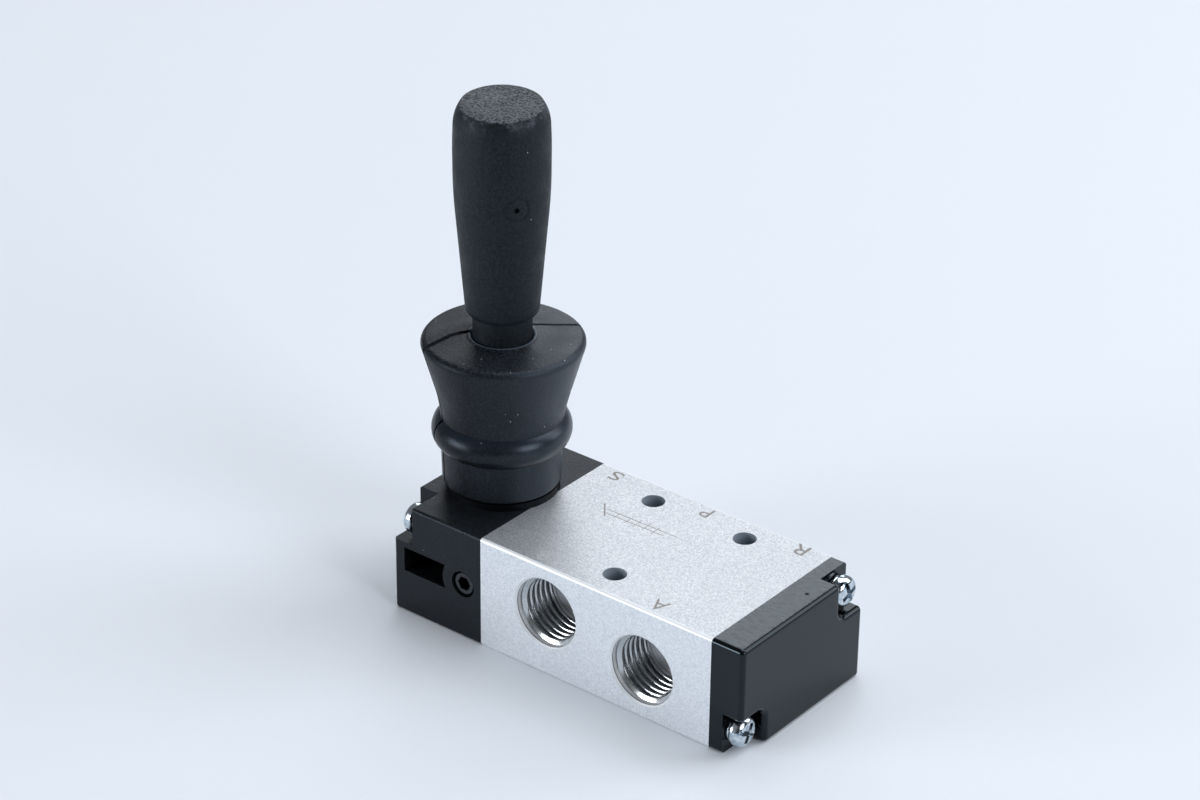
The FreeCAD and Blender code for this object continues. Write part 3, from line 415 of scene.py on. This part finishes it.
def studio_paper():
    """The studio's pale paper: matt, cool white, with a faint cloudiness."""
    made, tree, surface, place = new_finish("studio_paper", Roughness=0.9)
    cloud = put(tree, "ShaderNodeTexNoise", {}, {"Vector": place, "Scale": 1 / 300.0, "Detail": 1.0})
    tint = blended(tree, cloud.outputs[0], linear("#E2E8EF"), linear("#E8EDF3"))
    tree.links.new(tint, surface.inputs["Base Color"])
    return made


block_metal = blasted_aluminium()
thread_metal = machined_aluminium()
mark_oxide = laser_mark()
housing_nylon = glass_filled_nylon()
cap_nylon = glossy_nylon()
rubber = boot_rubber()
grip_skin = grip_plastic()
zinc = bright_zinc()
paper = studio_paper()
# black-oxide steel: dark and oily, brighter where the key has rubbed it
black_oxide = metal_finish("black_oxide_steel", "#2A2C2F", "#56595D", 0.25, 0.4, 0.5, 0.02)
# ground steel: grey with a fine cross grain
ground_steel = metal_finish("ground_steel", "#8C9094", "#B9BDC1", 0.22, 0.36, 0.3, 0.02)
# the spool: polished aluminium, nearly a mirror
polished_spool = metal_finish("polished_aluminium", "#C6CACD", "#E4E7E9", 0.12, 0.22, 0.6, 0.01)
# nitrile O-rings: black with an oily sheen
seal_rubber = soft_finish("nitrile_o_ring", "#0C0D0F", "#191B1E", 0.25, 0.4, 0.5)
# turned acetal: waxy off-white
acetal = soft_finish("turned_acetal", "#D6D0C0", "#E3DED0", 0.3, 0.45, 0.7)

NODE_FINISHES = {
    "valve_body": block_metal,
    "lever_housing": housing_nylon,
    "end_cap": cap_nylon,
    "spool": polished_spool,
    "guide_bush_left": acetal,
    "guide_bush_right": acetal,
    "housing_washers": zinc,
    "cap_washers": zinc,
    "detent_screw": black_oxide,
    "detent_spring": ground_steel,
    "detent_ball": ground_steel,
    "pivot_pin": ground_steel,
    "lever_rod": ground_steel,
}
for name, cad_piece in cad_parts.items():
    worn = NODE_FINISHES.get(name, seal_rubber)
    for slot in cad_piece.material_slots:
        slot.material = worn


def let_go():
    """Leaves nothing selected."""
    if bpy.context.object and bpy.context.object.mode == "EDIT":
        bpy.ops.object.mode_set(mode="OBJECT")
    bpy.ops.object.select_all(action="DESELECT")


def open_piece(piece):
    """Opens a piece in edit mode with nothing selected."""
    let_go()
    piece.select_set(True)
    bpy.context.view_layer.objects.active = piece
    bpy.ops.object.mode_set(mode="EDIT")
    bpy.ops.mesh.select_all(action="DESELECT")


def pick(piece, kind, wanted):
    """Selects the vertices, edges or faces of the open piece that pass the test."""
    bpy.ops.mesh.select_mode(type=kind)
    bpy.ops.mesh.select_all(action="DESELECT")
    mesh = bmesh.from_edit_mesh(piece.data)
    for item in {"VERT": mesh.verts, "EDGE": mesh.edges, "FACE": mesh.faces}[kind]:
        if wanted(item):
            item.select_set(True)
    mesh.select_flush_mode()
    bmesh.update_edit_mesh(piece.data)


def apply_all(piece):
    """Applies the piece's modifiers, then its place, turn and scale."""
    let_go()
    piece.select_set(True)
    bpy.context.view_layer.objects.active = piece
    for modifier in list(piece.modifiers):
        bpy.ops.object.modifier_apply(modifier=modifier.name)
    bpy.ops.object.transform_apply(location=True, rotation=True, scale=True)


def finish_piece(piece, material, smooth):
    """A finished piece: settled at the origin, smooth but for its sharp edges, in its finish.
    An edge is sharp past the angle smooth, in degrees."""
    apply_all(piece)
    bpy.ops.object.shade_smooth_by_angle(angle=math.radians(smooth))
    piece.data.materials.clear()
    piece.data.materials.append(material)


def turn_to_face(piece, turn, move):
    """Turns a piece that was modelled at the origin and moves it to its place, in millimetres."""
    piece.matrix_world = Matrix.Translation(Vector(move) * MM) @ turn.to_4x4() @ piece.matrix_world
    apply_all(piece)


def bow(start, finish, radius, steps):
    """Points of an arc from start to finish in an outline, bulging to the right of the way
    there, or to the left with a negative radius. The start itself isn't repeated."""
    start, finish = Vector(start), Vector(finish)
    chord = finish - start
    side = Vector((chord.y, -chord.x)).normalized() * (1 if radius > 0 else -1)
    drop = math.sqrt(max(radius * radius - chord.length_squared / 4, 0.0))
    centre = (start + finish) / 2 - side * drop
    first, last = start - centre, finish - centre
    sweep = first.angle_signed(last)
    return [tuple(centre + Matrix.Rotation(-sweep * n / steps, 2) @ first) for n in range(1, steps + 1)]


def run(start, finish, steps):
    """Evenly spaced points of a straight stretch of an outline, without its start."""
    return [tuple(Vector(start).lerp(Vector(finish), n / steps)) for n in range(1, steps + 1)]


def turned(name, outline, sides, across=0.0, closed=False):
    """A turned piece: one circle, extruded and resized ring by ring along the outline of
    (radius, height) points, then closed at both ends, or onto its first ring."""
    let_go()
    radius, height = outline[0]
    start = (across * MM, 0, height * MM)
    bpy.ops.mesh.primitive_circle_add(vertices=sides, radius=radius * MM, location=start)
    piece = bpy.context.object
    piece.name = name
    bpy.ops.object.mode_set(mode="EDIT")
    bpy.ops.mesh.select_all(action="SELECT")
    if not closed:
        bpy.ops.mesh.edge_face_add()
        bpy.ops.mesh.select_mode(type="EDGE")
        bpy.ops.mesh.select_all(action="SELECT")
    for (before, low), (radius, height) in zip(outline, outline[1:]):
        bpy.ops.mesh.extrude_edges_move(TRANSFORM_OT_translate={"value": (0, 0, (height - low) * MM)})
        grown = radius / before
        bpy.ops.transform.resize(value=(grown, grown, 1), center_override=(across * MM, 0, height * MM))
    if not closed:
        bpy.ops.mesh.edge_face_add()
    bpy.ops.mesh.select_all(action="SELECT")
    bpy.ops.mesh.remove_doubles(threshold=0.001 * MM)
    bpy.ops.mesh.normals_make_consistent(inside=False)
    apply_all(piece)
    return piece


def refine(piece, wanted, cuts):
    """Divides the faces that pass the test, to take a finer shape."""
    open_piece(piece)
    pick(piece, "FACE", wanted)
    bpy.ops.mesh.subdivide(number_cuts=cuts, smoothness=0.0)
    bpy.ops.object.mode_set(mode="OBJECT")


def press(piece, depth, share_at):
    """Presses the skin in, or raises it where depth is negative, by a share of depth at each point."""
    group = piece.vertex_groups.new(name="press")
    for vertex in piece.data.vertices:
        share = share_at(vertex.co / MM)
        if share > 0:
            group.add([vertex.index], min(share, 1.0), "REPLACE")
    sink = piece.modifiers.new("sink", "DISPLACE")
    sink.strength, sink.mid_level, sink.vertex_group = -depth * MM, 0.0, "press"
    apply_all(piece)
    piece.vertex_groups.clear()


def soft_edge(distance, width):
    """1 within half the width, falling smoothly to 0 at the full width."""
    share = max(0.0, min(1.0, 2 - 2 * distance / width))
    return share * share * (3 - 2 * share)


def off_line(point, line):
    """The distance of a flat point from a line of points."""
    best = 1e9
    for start, finish in zip(line, line[1:]):
        start, along = Vector(start), Vector(finish) - Vector(start)
        share = max(0.0, min(1.0, (point - start).dot(along) / along.length_squared))
        best = min(best, (point - start - along * share).length)
    return best


# how far each thread's start is turned, in degrees: it lies at the upper left of the near ports
TAP_START = 225


def port_thread(name, place, facing, root, crest, pitch, turns, lead_in):
    """The thread inside a port: a rounded tooth swept along its helix. place is the middle of
    the mouth, and facing is the way out of it. root and crest are radii."""
    let_go()
    # the tooth is nearly as wide as the pitch at its root, and a third of that at its rounded crest
    middle = (root + crest) / 2
    bpy.ops.mesh.primitive_plane_add(size=MM, location=(middle * MM, 0, 0), rotation=(math.pi / 2, 0, 0))
    piece = bpy.context.object
    piece.name = name
    piece.scale = ((root - crest), pitch * 0.98, 1)
    apply_all(piece)
    open_piece(piece)
    pick(piece, "VERT", lambda vertex: vertex.co.x < middle * MM)
    bpy.ops.transform.resize(value=(1, 1, 0.34), center_override=(crest * MM, 0, 0))
    bpy.ops.mesh.bevel(offset=0.2 * MM, segments=3, affect="VERTICES")
    bpy.ops.object.mode_set(mode="OBJECT")
    helix = piece.modifiers.new("helix", "SCREW")
    helix.angle, helix.screw_offset = math.tau * turns, pitch * turns * MM
    helix.steps = helix.render_steps = int(80 * turns)
    apply_all(piece)
    # the tooth fades out over its first and last half turn
    for vertex in piece.data.vertices:
        x, y, z = vertex.co / MM
        angle = math.atan2(y, x) % math.tau / math.tau
        done = angle + round(z / pitch - angle)
        fade = max(0.0, min(done / 0.5, (turns - done) / 0.5, 1.0))
        reach = math.hypot(x, y)
        vertex.co.xy *= (root + (reach - root) * fade) / reach
    open_piece(piece)
    bpy.ops.mesh.select_all(action="SELECT")
    bpy.ops.mesh.fill_holes(sides=0)
    bpy.ops.mesh.normals_make_consistent(inside=False)
    bpy.ops.object.mode_set(mode="OBJECT")
    tap = Matrix.Rotation(math.radians(TAP_START), 3, "Z")
    turn = Matrix.Rotation(math.radians(90 * facing), 3, "X") @ tap
    x, y, z = place
    turn_to_face(piece, turn, (x, y - facing * (lead_in + pitch / 2), z))
    finish_piece(piece, thread_metal, 60)
    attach(piece, "valve")


# G 1/4 and G 1/8: the tooth's root and crest radius, its pitch and turns, and its depth in the mouth
QUARTER = (6.64, 5.74, 1.337, 6.7, 0.4)
EIGHTH = (4.92, 4.3, 0.907, 8.0, 0.6)
port_thread("thread_A", (10.65, -HALF_WIDE, 9.5), -1, *QUARTER)
port_thread("thread_B", (-10.65, -HALF_WIDE, 12.5), -1, *QUARTER)
port_thread("thread_P", (0.0, HALF_WIDE, HALF_TALL), 1, *QUARTER)
port_thread("thread_S", (-18.2, HALF_WIDE, HALF_TALL), 1, *EIGHTH)
port_thread("thread_R", (18.2, HALF_WIDE, HALF_TALL), 1, *EIGHTH)


def joined(name, parts):
    """Several parts made one piece."""
    let_go()
    for part in parts:
        part.select_set(True)
    bpy.context.view_layer.objects.active = parts[0]
    bpy.ops.object.join()
    parts[0].name = name
    return parts[0]


# the burnt marks stand a hair proud of the block's top
MARK_LOW, MARK_HIGH = BLOCK_TOP - 0.005, BLOCK_TOP + 0.015


def letter(body, low, high):
    """A port's letter, read from the far side, fitted into the box from low to high."""
    let_go()
    bpy.ops.object.text_add()
    text = bpy.context.object
    text.data.body, text.data.resolution_u = body, 6
    text.data.extrude = 0.5
    bpy.ops.object.convert(target="MESH")
    piece = bpy.context.object
    corners = [Vector(corner) for corner in piece.bound_box]
    least = Vector(min(c[n] for c in corners) for n in range(3))
    size = Vector(max(c[n] for c in corners) for n in range(3)) - least
    wide, tall = high[0] - low[0], high[1] - low[1]
    piece.scale = (-wide / size.x * MM, -tall / size.y * MM, (MARK_HIGH - MARK_LOW) / size.z * MM)
    middle = Vector(((low[0] + high[0]) / 2, (low[1] + high[1]) / 2, (MARK_LOW + MARK_HIGH) / 2)) * MM
    centre = least + size / 2
    piece.location = middle - Vector(centre[n] * piece.scale[n] for n in range(3))
    apply_all(piece)
    return piece


def strip(start, finish, width):
    """A straight burnt line between two places on the block's top."""
    let_go()
    start, finish = Vector(start), Vector(finish)
    middle, along = (start + finish) / 2, finish - start
    bpy.ops.mesh.primitive_plane_add(size=MM, location=(middle.x * MM, middle.y * MM, MARK_LOW * MM))
    piece = bpy.context.object
    piece.scale = (along.length, width, 1)
    piece.rotation_euler.z = math.atan2(along.y, along.x)
    open_piece(piece)
    bpy.ops.mesh.select_all(action="SELECT")
    bpy.ops.mesh.extrude_region_move(TRANSFORM_OT_translate={"value": (0, 0, (MARK_HIGH - MARK_LOW) * MM)})
    bpy.ops.mesh.select_all(action="SELECT")
    bpy.ops.mesh.normals_make_consistent(inside=False)
    apply_all(piece)
    return piece


# each letter's box on the block's top
letters = joined("port_letters", [
    letter("S", (-21.97, 13.45), (-19.69, 16.42)),
    letter("P", (-1.35, 13.5), (0.6, 16.4)),
    letter("R", (18.45, 13.8), (21.25, 17.05)),
    letter("A", (10.65, -16.2), (13.55, -13.15)),
    letter("B", (-14.5, -16.1), (-12.3, -13.1)),
])
# the symbol's lines: start, finish and width
symbol = joined("valve_symbol", [
    strip(start, finish, width)
    for start, finish, width in (
        ((-16.3, 5.98), (-13.63, 2.61), 0.3),
        ((-14.78, 4.78), (0.77, 4.94), 0.14),
        ((-13.77, 3.53), (-1.28, 3.86), 0.14),
        ((-12.0, 5.0), (-12.0, 3.2), 0.12),
        ((-9.4, 5.45), (-9.4, 3.0), 0.12),
        ((-7.55, 5.56), (-7.55, 2.83), 0.12),
        ((-5.6, 5.7), (-5.6, 2.95), 0.12),
        ((-3.55, 5.54), (-3.55, 3.07), 0.12),
    )
])
for marks in (letters, symbol):
    finish_piece(marks, mark_oxide, 20)
    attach(marks, "valve")

# Pan-head screws with a combined cross and slot recess, modelled once with the head up: the
# head's radius, the height of its rim and of its top, the shank's radius and its reach
HEAD_RADIUS, HEAD_RIM, HEAD_TOP = 2.9, 1.15, 2.2
SHANK, SHANK_REACH = 1.5, 8.6
# a spring washer's section: the radius and height of its middle, its width and its thickness
RING_RADIUS, RING_RISE, RING_WIDE, RING_THICK = 2.12, 0.38, 0.92, 0.62


def wedge(length, width, depth, turn):
    """A cutter for the recess: a block above the head that narrows as it goes down into it."""
    let_go()
    bpy.ops.mesh.primitive_cube_add(size=MM, location=(0, 0, (HEAD_TOP - depth / 2 + 0.25) * MM))
    piece = bpy.context.object
    piece.scale = (length, width, depth + 0.5)
    apply_all(piece)
    open_piece(piece)
    pick(piece, "FACE", lambda face: face.normal.z < -0.5)
    bpy.ops.transform.resize(value=(0.5, 0.75, 1), center_override=(0, 0, (HEAD_TOP - depth) * MM))
    bpy.ops.object.mode_set(mode="OBJECT")
    turn_to_face(piece, Matrix.Rotation(math.radians(turn), 3, "Z"), (0, 0, 0))
    return piece


def pan_screw():
    """One screw, its head standing on z = 0 and its shank reaching down."""
    outline = [(0.2, -SHANK_REACH), (SHANK - 0.3, -SHANK_REACH), (SHANK, -SHANK_REACH + 0.3), (SHANK, 0.0)]
    outline += [(HEAD_RADIUS - 0.25, 0.0), (HEAD_RADIUS, 0.2), (HEAD_RADIUS, HEAD_RIM)]
    outline += bow((HEAD_RADIUS, HEAD_RIM), (1.6, HEAD_TOP), 1.6, 10) + [(0.4, HEAD_TOP + 0.02)]
    screw = turned("pan_screw", outline, 64)
    cutters = [wedge(4.3, 1.0, 1.7, 0), wedge(4.3, 1.0, 1.7, 90), wedge(9.0, 0.8, 0.8, 0)]
    for cutter in cutters:
        cut = screw.modifiers.new("cut", "BOOLEAN")
        cut.operation, cut.solver, cut.object = "DIFFERENCE", "EXACT", cutter
    apply_all(screw)
    let_go()
    for cutter in cutters:
        cutter.select_set(True)
    bpy.ops.object.delete()
    return screw


def copied(piece):
    """A copy with its own mesh."""
    twin = piece.copy()
    twin.data = piece.data.copy()
    bpy.context.scene.collection.objects.link(twin)
    return twin


def screw_pair(name, node, way, seat, places):
    """Two screws in opposite corners, facing along X by way, each with its recess at an angle."""
    model = pan_screw()
    facing = Matrix.Rotation(math.radians(90 * way), 3, "Y")
    pair = []
    for across, up, angle in places:
        screw = copied(model)
        turn_to_face(screw, facing @ Matrix.Rotation(math.radians(angle), 3, "Z"), (seat, across, up))
        pair.append(screw)
    let_go()
    model.select_set(True)
    bpy.ops.object.delete()
    piece = joined(name, pair)
    finish_piece(piece, zinc, 35)
    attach(piece, "valve")
    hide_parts(node)


def spring_washers(name, node, way, seat, places):
    """Two split spring washers: a square section swept just short of a full turn, its ends apart."""
    facing = Matrix.Rotation(math.radians(90 * way), 3, "Y")
    pair = []
    for across, up, angle in places:
        let_go()
        middle = (RING_RADIUS * MM, 0, RING_RISE * MM)
        bpy.ops.mesh.primitive_plane_add(size=MM, location=middle, rotation=(math.pi / 2, 0, 0))
        ring = bpy.context.object
        ring.scale = (RING_WIDE, RING_THICK, 1)
        apply_all(ring)
        open_piece(ring)
        bpy.ops.mesh.select_all(action="SELECT")
        bpy.ops.mesh.bevel(offset=0.08 * MM, segments=2, affect="VERTICES")
        bpy.ops.object.mode_set(mode="OBJECT")
        sweep = ring.modifiers.new("sweep", "SCREW")
        sweep.angle, sweep.screw_offset = math.radians(344), 0.12 * MM
        sweep.steps = sweep.render_steps = 64
        apply_all(ring)
        open_piece(ring)
        bpy.ops.mesh.select_all(action="SELECT")
        bpy.ops.mesh.fill_holes(sides=0)
        bpy.ops.mesh.normals_make_consistent(inside=False)
        bpy.ops.object.mode_set(mode="OBJECT")
        turn_to_face(ring, facing @ Matrix.Rotation(math.radians(angle), 3, "Z"), (seat, across, up))
        pair.append(ring)
    piece = joined(name, pair)
    finish_piece(piece, zinc, 35)
    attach(piece, "valve")
    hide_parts(node)


# where the washers sit along X, and the corners of the two ends as places across and up
CAP_SEAT, HOUSING_SEAT = 28.2, -41.35
NEAR_LOW, NEAR_HIGH = (-14.2, 3.9), (-14.2, 18.1)
FAR_LOW, FAR_HIGH = (14.2, 3.9), (14.2, 18.1)
screw_pair("cap_pan_screws", "cap_screws", 1, CAP_SEAT + 1.0, ((*NEAR_LOW, 65), (*FAR_HIGH, 20)))
screw_pair("housing_pan_screws", "housing_screws", -1, HOUSING_SEAT - 1.0, ((*NEAR_HIGH, 30), (*FAR_LOW, 75)))
spring_washers("cap_spring_washers", "cap_washers", 1, CAP_SEAT, ((*NEAR_LOW, 140), (*FAR_HIGH, 250)))
spring_washers(
    "housing_spring_washers", "housing_washers", -1, HOUSING_SEAT, ((*NEAR_HIGH, 60), (*FAR_LOW, 200)),
)


def grip():
    """The grip: a club shape with a flat ground end, the shallow ring of the mould's gate on its
    near side and a faint step at its neck."""
    outline = [(4.2, 48.0), (5.1, 48.0), (5.3, 48.2)] + run((5.3, 48.2), (5.3, 56.7), 8)
    outline += [(5.38, 56.72)] + bow((5.38, 56.72), (6.62, 58.2), 1.5, 7) + run((6.62, 58.2), (8.2, 76.7), 24)
    outline += bow((8.2, 76.7), (8.52, 86.0), 100, 12) + bow((8.52, 86.0), (8.42, 92.6), 90, 8)
    outline += bow((8.42, 92.6), (7.25, 96.38), 6.7, 10)
    outline += [(7.15, GRIP_END), (5.0, GRIP_END), (2.5, GRIP_END)]
    piece = turned("moulded_grip", outline, 144, LEVER_X)
    # the end was ground a little out of square
    for vertex in piece.data.vertices:
        x, y, z = vertex.co / MM
        share = max(0.0, min(1.0, (z - 93.5) / 2.9))
        vertex.co.z -= GROUND_SLOPE.dot(Vector((x - LEVER_X, y))) * share * MM
    refine(piece, lambda face: (face.calc_center_median() / MM - GATE).length < 3.2, 3)

    def gate_share(point):
        """The gate's pit, and the ring around it at nearly half the pit's depth."""
        off = (point - GATE).length
        ring = soft_edge(abs(off - 2.1), 0.45) * 0.45
        return ring + soft_edge(off, 0.45)

    press(piece, 0.35, gate_share)
    return piece


grip_piece = grip()
finish_piece(grip_piece, grip_skin, 35)
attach(grip_piece, "lever")
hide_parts("lever_grip")


def boot():
    """The rubber boot: a hem, a straight base, a round bulge and a flared cone with a flat top.
    A slit closes across its top and runs down both flanks."""
    outline = [(9.5, 23.6), (10.12, 23.6)] + bow((10.12, 23.6), (10.72, 24.2), 0.6, 4)
    outline += run((10.72, 24.2), (10.9, 30.9), 14) + bow((10.9, 30.9), (11.1, 36.7), 3.4, 20)
    outline += bow((11.1, 36.7), (12.36, 42.8), -35, 14) + run((12.36, 42.8), (14.6, 50.6), 16)
    outline += bow((14.6, 50.6), (13.7, 51.95), 1.1, 8) + run((13.7, 51.95), (6.5, 52.2), 20)
    outline += [(6.2, 52.26)] + bow((6.2, 52.26), (5.42, 51.95), 0.5, 8)
    # its inside, from the neck down to the hem
    outline += [(5.42, 50.6), (11.7, 50.6), (9.75, 37.6), (10.4, 35.35)]
    outline += [(10.4, 32.4), (9.5, 31.65), (9.5, 23.6)]
    piece = turned("rubber_boot", outline, 240, LEVER_X, closed=True)
    # the loose skirt has crept a little to the left of the lever's axis, and the rim to the right
    skirt_creep, rim_creep = Vector((-0.15, -0.12)), Vector((0.12, 0.1))
    for vertex in piece.data.vertices:
        low = 1 - max(0.0, min(1.0, (vertex.co.z / MM - 31) / 12))
        low = low * low * (3 - 2 * low)
        wide = max(0.0, min(1.0, (math.hypot(vertex.co.x / MM - LEVER_X, vertex.co.y / MM) - 6) / 4))
        vertex.co.xy += (skirt_creep * low + rim_creep * (1 - low) * wide) * MM
    return piece


# above this height a point of the boot's skin is on its top
TOP_FROM = 51.8
# the slit across the top, on either side of the neck, and where it runs down the flanks
LEFT_SEAM = [(-42.1, -12.6), (-41.9, -9.08), (-41.51, -5.83), (-40.59, -3.95), (-39.5, -2.75), (-38.6, -2.1)]
RIGHT_SEAM = [(-34.0, 5.2), (-33.16, 6.4), (-30.5, 8.65), (-27.2, 11.8)]
FLANKS = (math.radians(-123), math.radians(57))


def seam_distance(point):
    """How far a point of the boot's skin is from the slit: across the top, then down the flanks."""
    flat = Vector((point.x, point.y))
    if point.z > TOP_FROM:
        return min(off_line(flat, LEFT_SEAM), off_line(flat, RIGHT_SEAM))
    out = flat - Vector((LEVER_X, 0))
    angle = math.atan2(out.y, out.x)
    return out.length * min(abs(math.remainder(angle - flank, math.tau)) for flank in FLANKS)


def lip_rise(point):
    """How far a point of the top is raised: the half behind the left seam stands proud beside it."""
    if point.z < 51.5:
        return 0.0
    flat = Vector((point.x, point.y))
    stretches = list(zip(LEFT_SEAM, LEFT_SEAM[1:]))
    low, high = next((pair for pair in stretches if point.y < pair[1][1]), stretches[-1])
    on_seam = low[0] + (high[0] - low[0]) * (point.y - low[1]) / (high[1] - low[1])
    behind = max(0.0, min(1.0, (on_seam - point.x) / 0.35))
    return soft_edge(off_line(flat, LEFT_SEAM[1:]), 5.5) * behind


def outer(point):
    """Whether a point of the boot is on its outer skin."""
    return math.hypot(point.x - LEVER_X, point.y) > 10.4 or point.z > 51.85


def by_slit(face):
    """Whether a face of the boot's outer skin lies beside the slit."""
    middle = face.calc_center_median() / MM
    return outer(middle) and seam_distance(middle) < 0.9


def slit_share(point):
    """How deep the slit is at a point: it closes up across the top towards the left rim."""
    if not outer(point):
        return 0.0
    share = soft_edge(seam_distance(point), 0.32)
    if point.z > TOP_FROM and point.x < LEVER_X:
        share *= max(0.35, min(1.0, (point.x + 42.0) / 2.5))
    return share


boot_piece = boot()
refine(boot_piece, by_slit, 2)
press(boot_piece, -0.22, lip_rise)
press(boot_piece, 0.5, slit_share)
finish_piece(boot_piece, rubber, 50)
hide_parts("dust_boot")
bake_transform(boot_piece)

# The floor is one wide, flat sheet of paper
let_go()
bpy.ops.mesh.primitive_plane_add(size=6.0, location=(0, 0, 0))
floor = bpy.context.object
floor.name = "studio_floor"
floor.data.materials.append(paper)


def softbox(name, place, size, power):
    """A rectangular studio light at a place, facing the valve's foot; metres and watts."""
    light = bpy.data.lights.new(name, "AREA")
    light.shape, light.size, light.size_y = "RECTANGLE", size[0], size[1]
    light.energy, light.color = power, linear("#F7FAFF")[:3]
    holder = bpy.data.objects.new(name, light)
    bpy.context.scene.collection.objects.link(holder)
    way = Vector((0, 0, 0.02)) - Vector(place)
    holder.matrix_world = Matrix.Translation(place) @ way.to_track_quat("-Z", "Y").to_matrix().to_4x4()


softbox("key_back_right", (0.55, 0.75, 1.1), (0.8, 0.8), 6.1)
softbox("back_right_low", (0.75, 0.95, 0.5), (0.5, 0.5), 2.7)
softbox("right_wall", (1.1, -0.1, 0.55), (0.6, 0.6), 6.7)
softbox("front_left_low", (-0.72, -0.98, 0.26), (0.6, 0.45), 8.5)
softbox("overhead", (-0.1, 0.3, 1.3), (0.9, 0.9), 7.2)
softbox("back_left", (-0.6, 0.8, 0.5), (0.5, 0.5), 1.6)

# The tent around the table: a soft glow low at the back left and one at the front left, dark
# elsewhere. Each is given by its azimuth in degrees and its strength, and both are 20 degrees up.
world = bpy.data.worlds.new("studio_tent")
bpy.context.scene.world = world
world.use_nodes = True
tent = world.node_tree
way = put(tent, "ShaderNodeTexCoord").outputs["Generated"]
glow = None
for azimuth, strength in ((120, 0.33), (240, 0.24)):
    level, turned_to = math.radians(20), math.radians(azimuth)
    middle = (math.cos(turned_to) * math.cos(level), math.sin(turned_to) * math.cos(level), math.sin(level))
    facing = put(tent, "ShaderNodeVectorMath", {"operation": "DOT_PRODUCT"}, {0: way, 1: middle})
    facing = put(tent, "ShaderNodeMath", {"operation": "MAXIMUM"}, {0: facing.outputs["Value"], 1: 0.0})
    lobe = put(tent, "ShaderNodeMath", {"operation": "POWER"}, {0: facing.outputs[0], 1: 2.0})
    feeds = {0: lobe.outputs[0], 1: strength, 2: glow if glow else 0.0}
    glow = put(tent, "ShaderNodeMath", {"operation": "MULTIPLY_ADD"}, feeds).outputs[0]
cloth = put(tent, "ShaderNodeVectorMath", {"operation": "MULTIPLY"}, {0: glow, 1: (0.93, 0.96, 1.0)})
tent.links.new(cloth.outputs[0], tent.nodes["Background"].inputs["Color"])

lens = bpy.data.cameras.new("camera")
lens.lens, lens.sensor_width, lens.sensor_fit = 105.203, 36.0, "HORIZONTAL"
lens.clip_start, lens.clip_end = 0.01, 20.0
camera = bpy.data.objects.new("camera", lens)
bpy.context.scene.collection.objects.link(camera)
# the camera's turn about the upright, its dip and its roll in degrees, and its place below in
# millimetres, all fitted to the block's edges and holes
AZIMUTH, DIP, ROLL = 38.4194, 28.7663, 0.692
stand = Matrix.Translation(Vector((317.738, -416.888, 338.866)) * MM)
turn = Matrix.Rotation(math.radians(AZIMUTH), 4, "Z") @ Matrix.Rotation(math.radians(90 - DIP), 4, "X")
camera.matrix_world = stand @ turn @ Matrix.Rotation(math.radians(ROLL), 4, "Z")
bpy.context.scene.camera = camera
bpy.context.scene.view_settings.view_transform = "Standard"
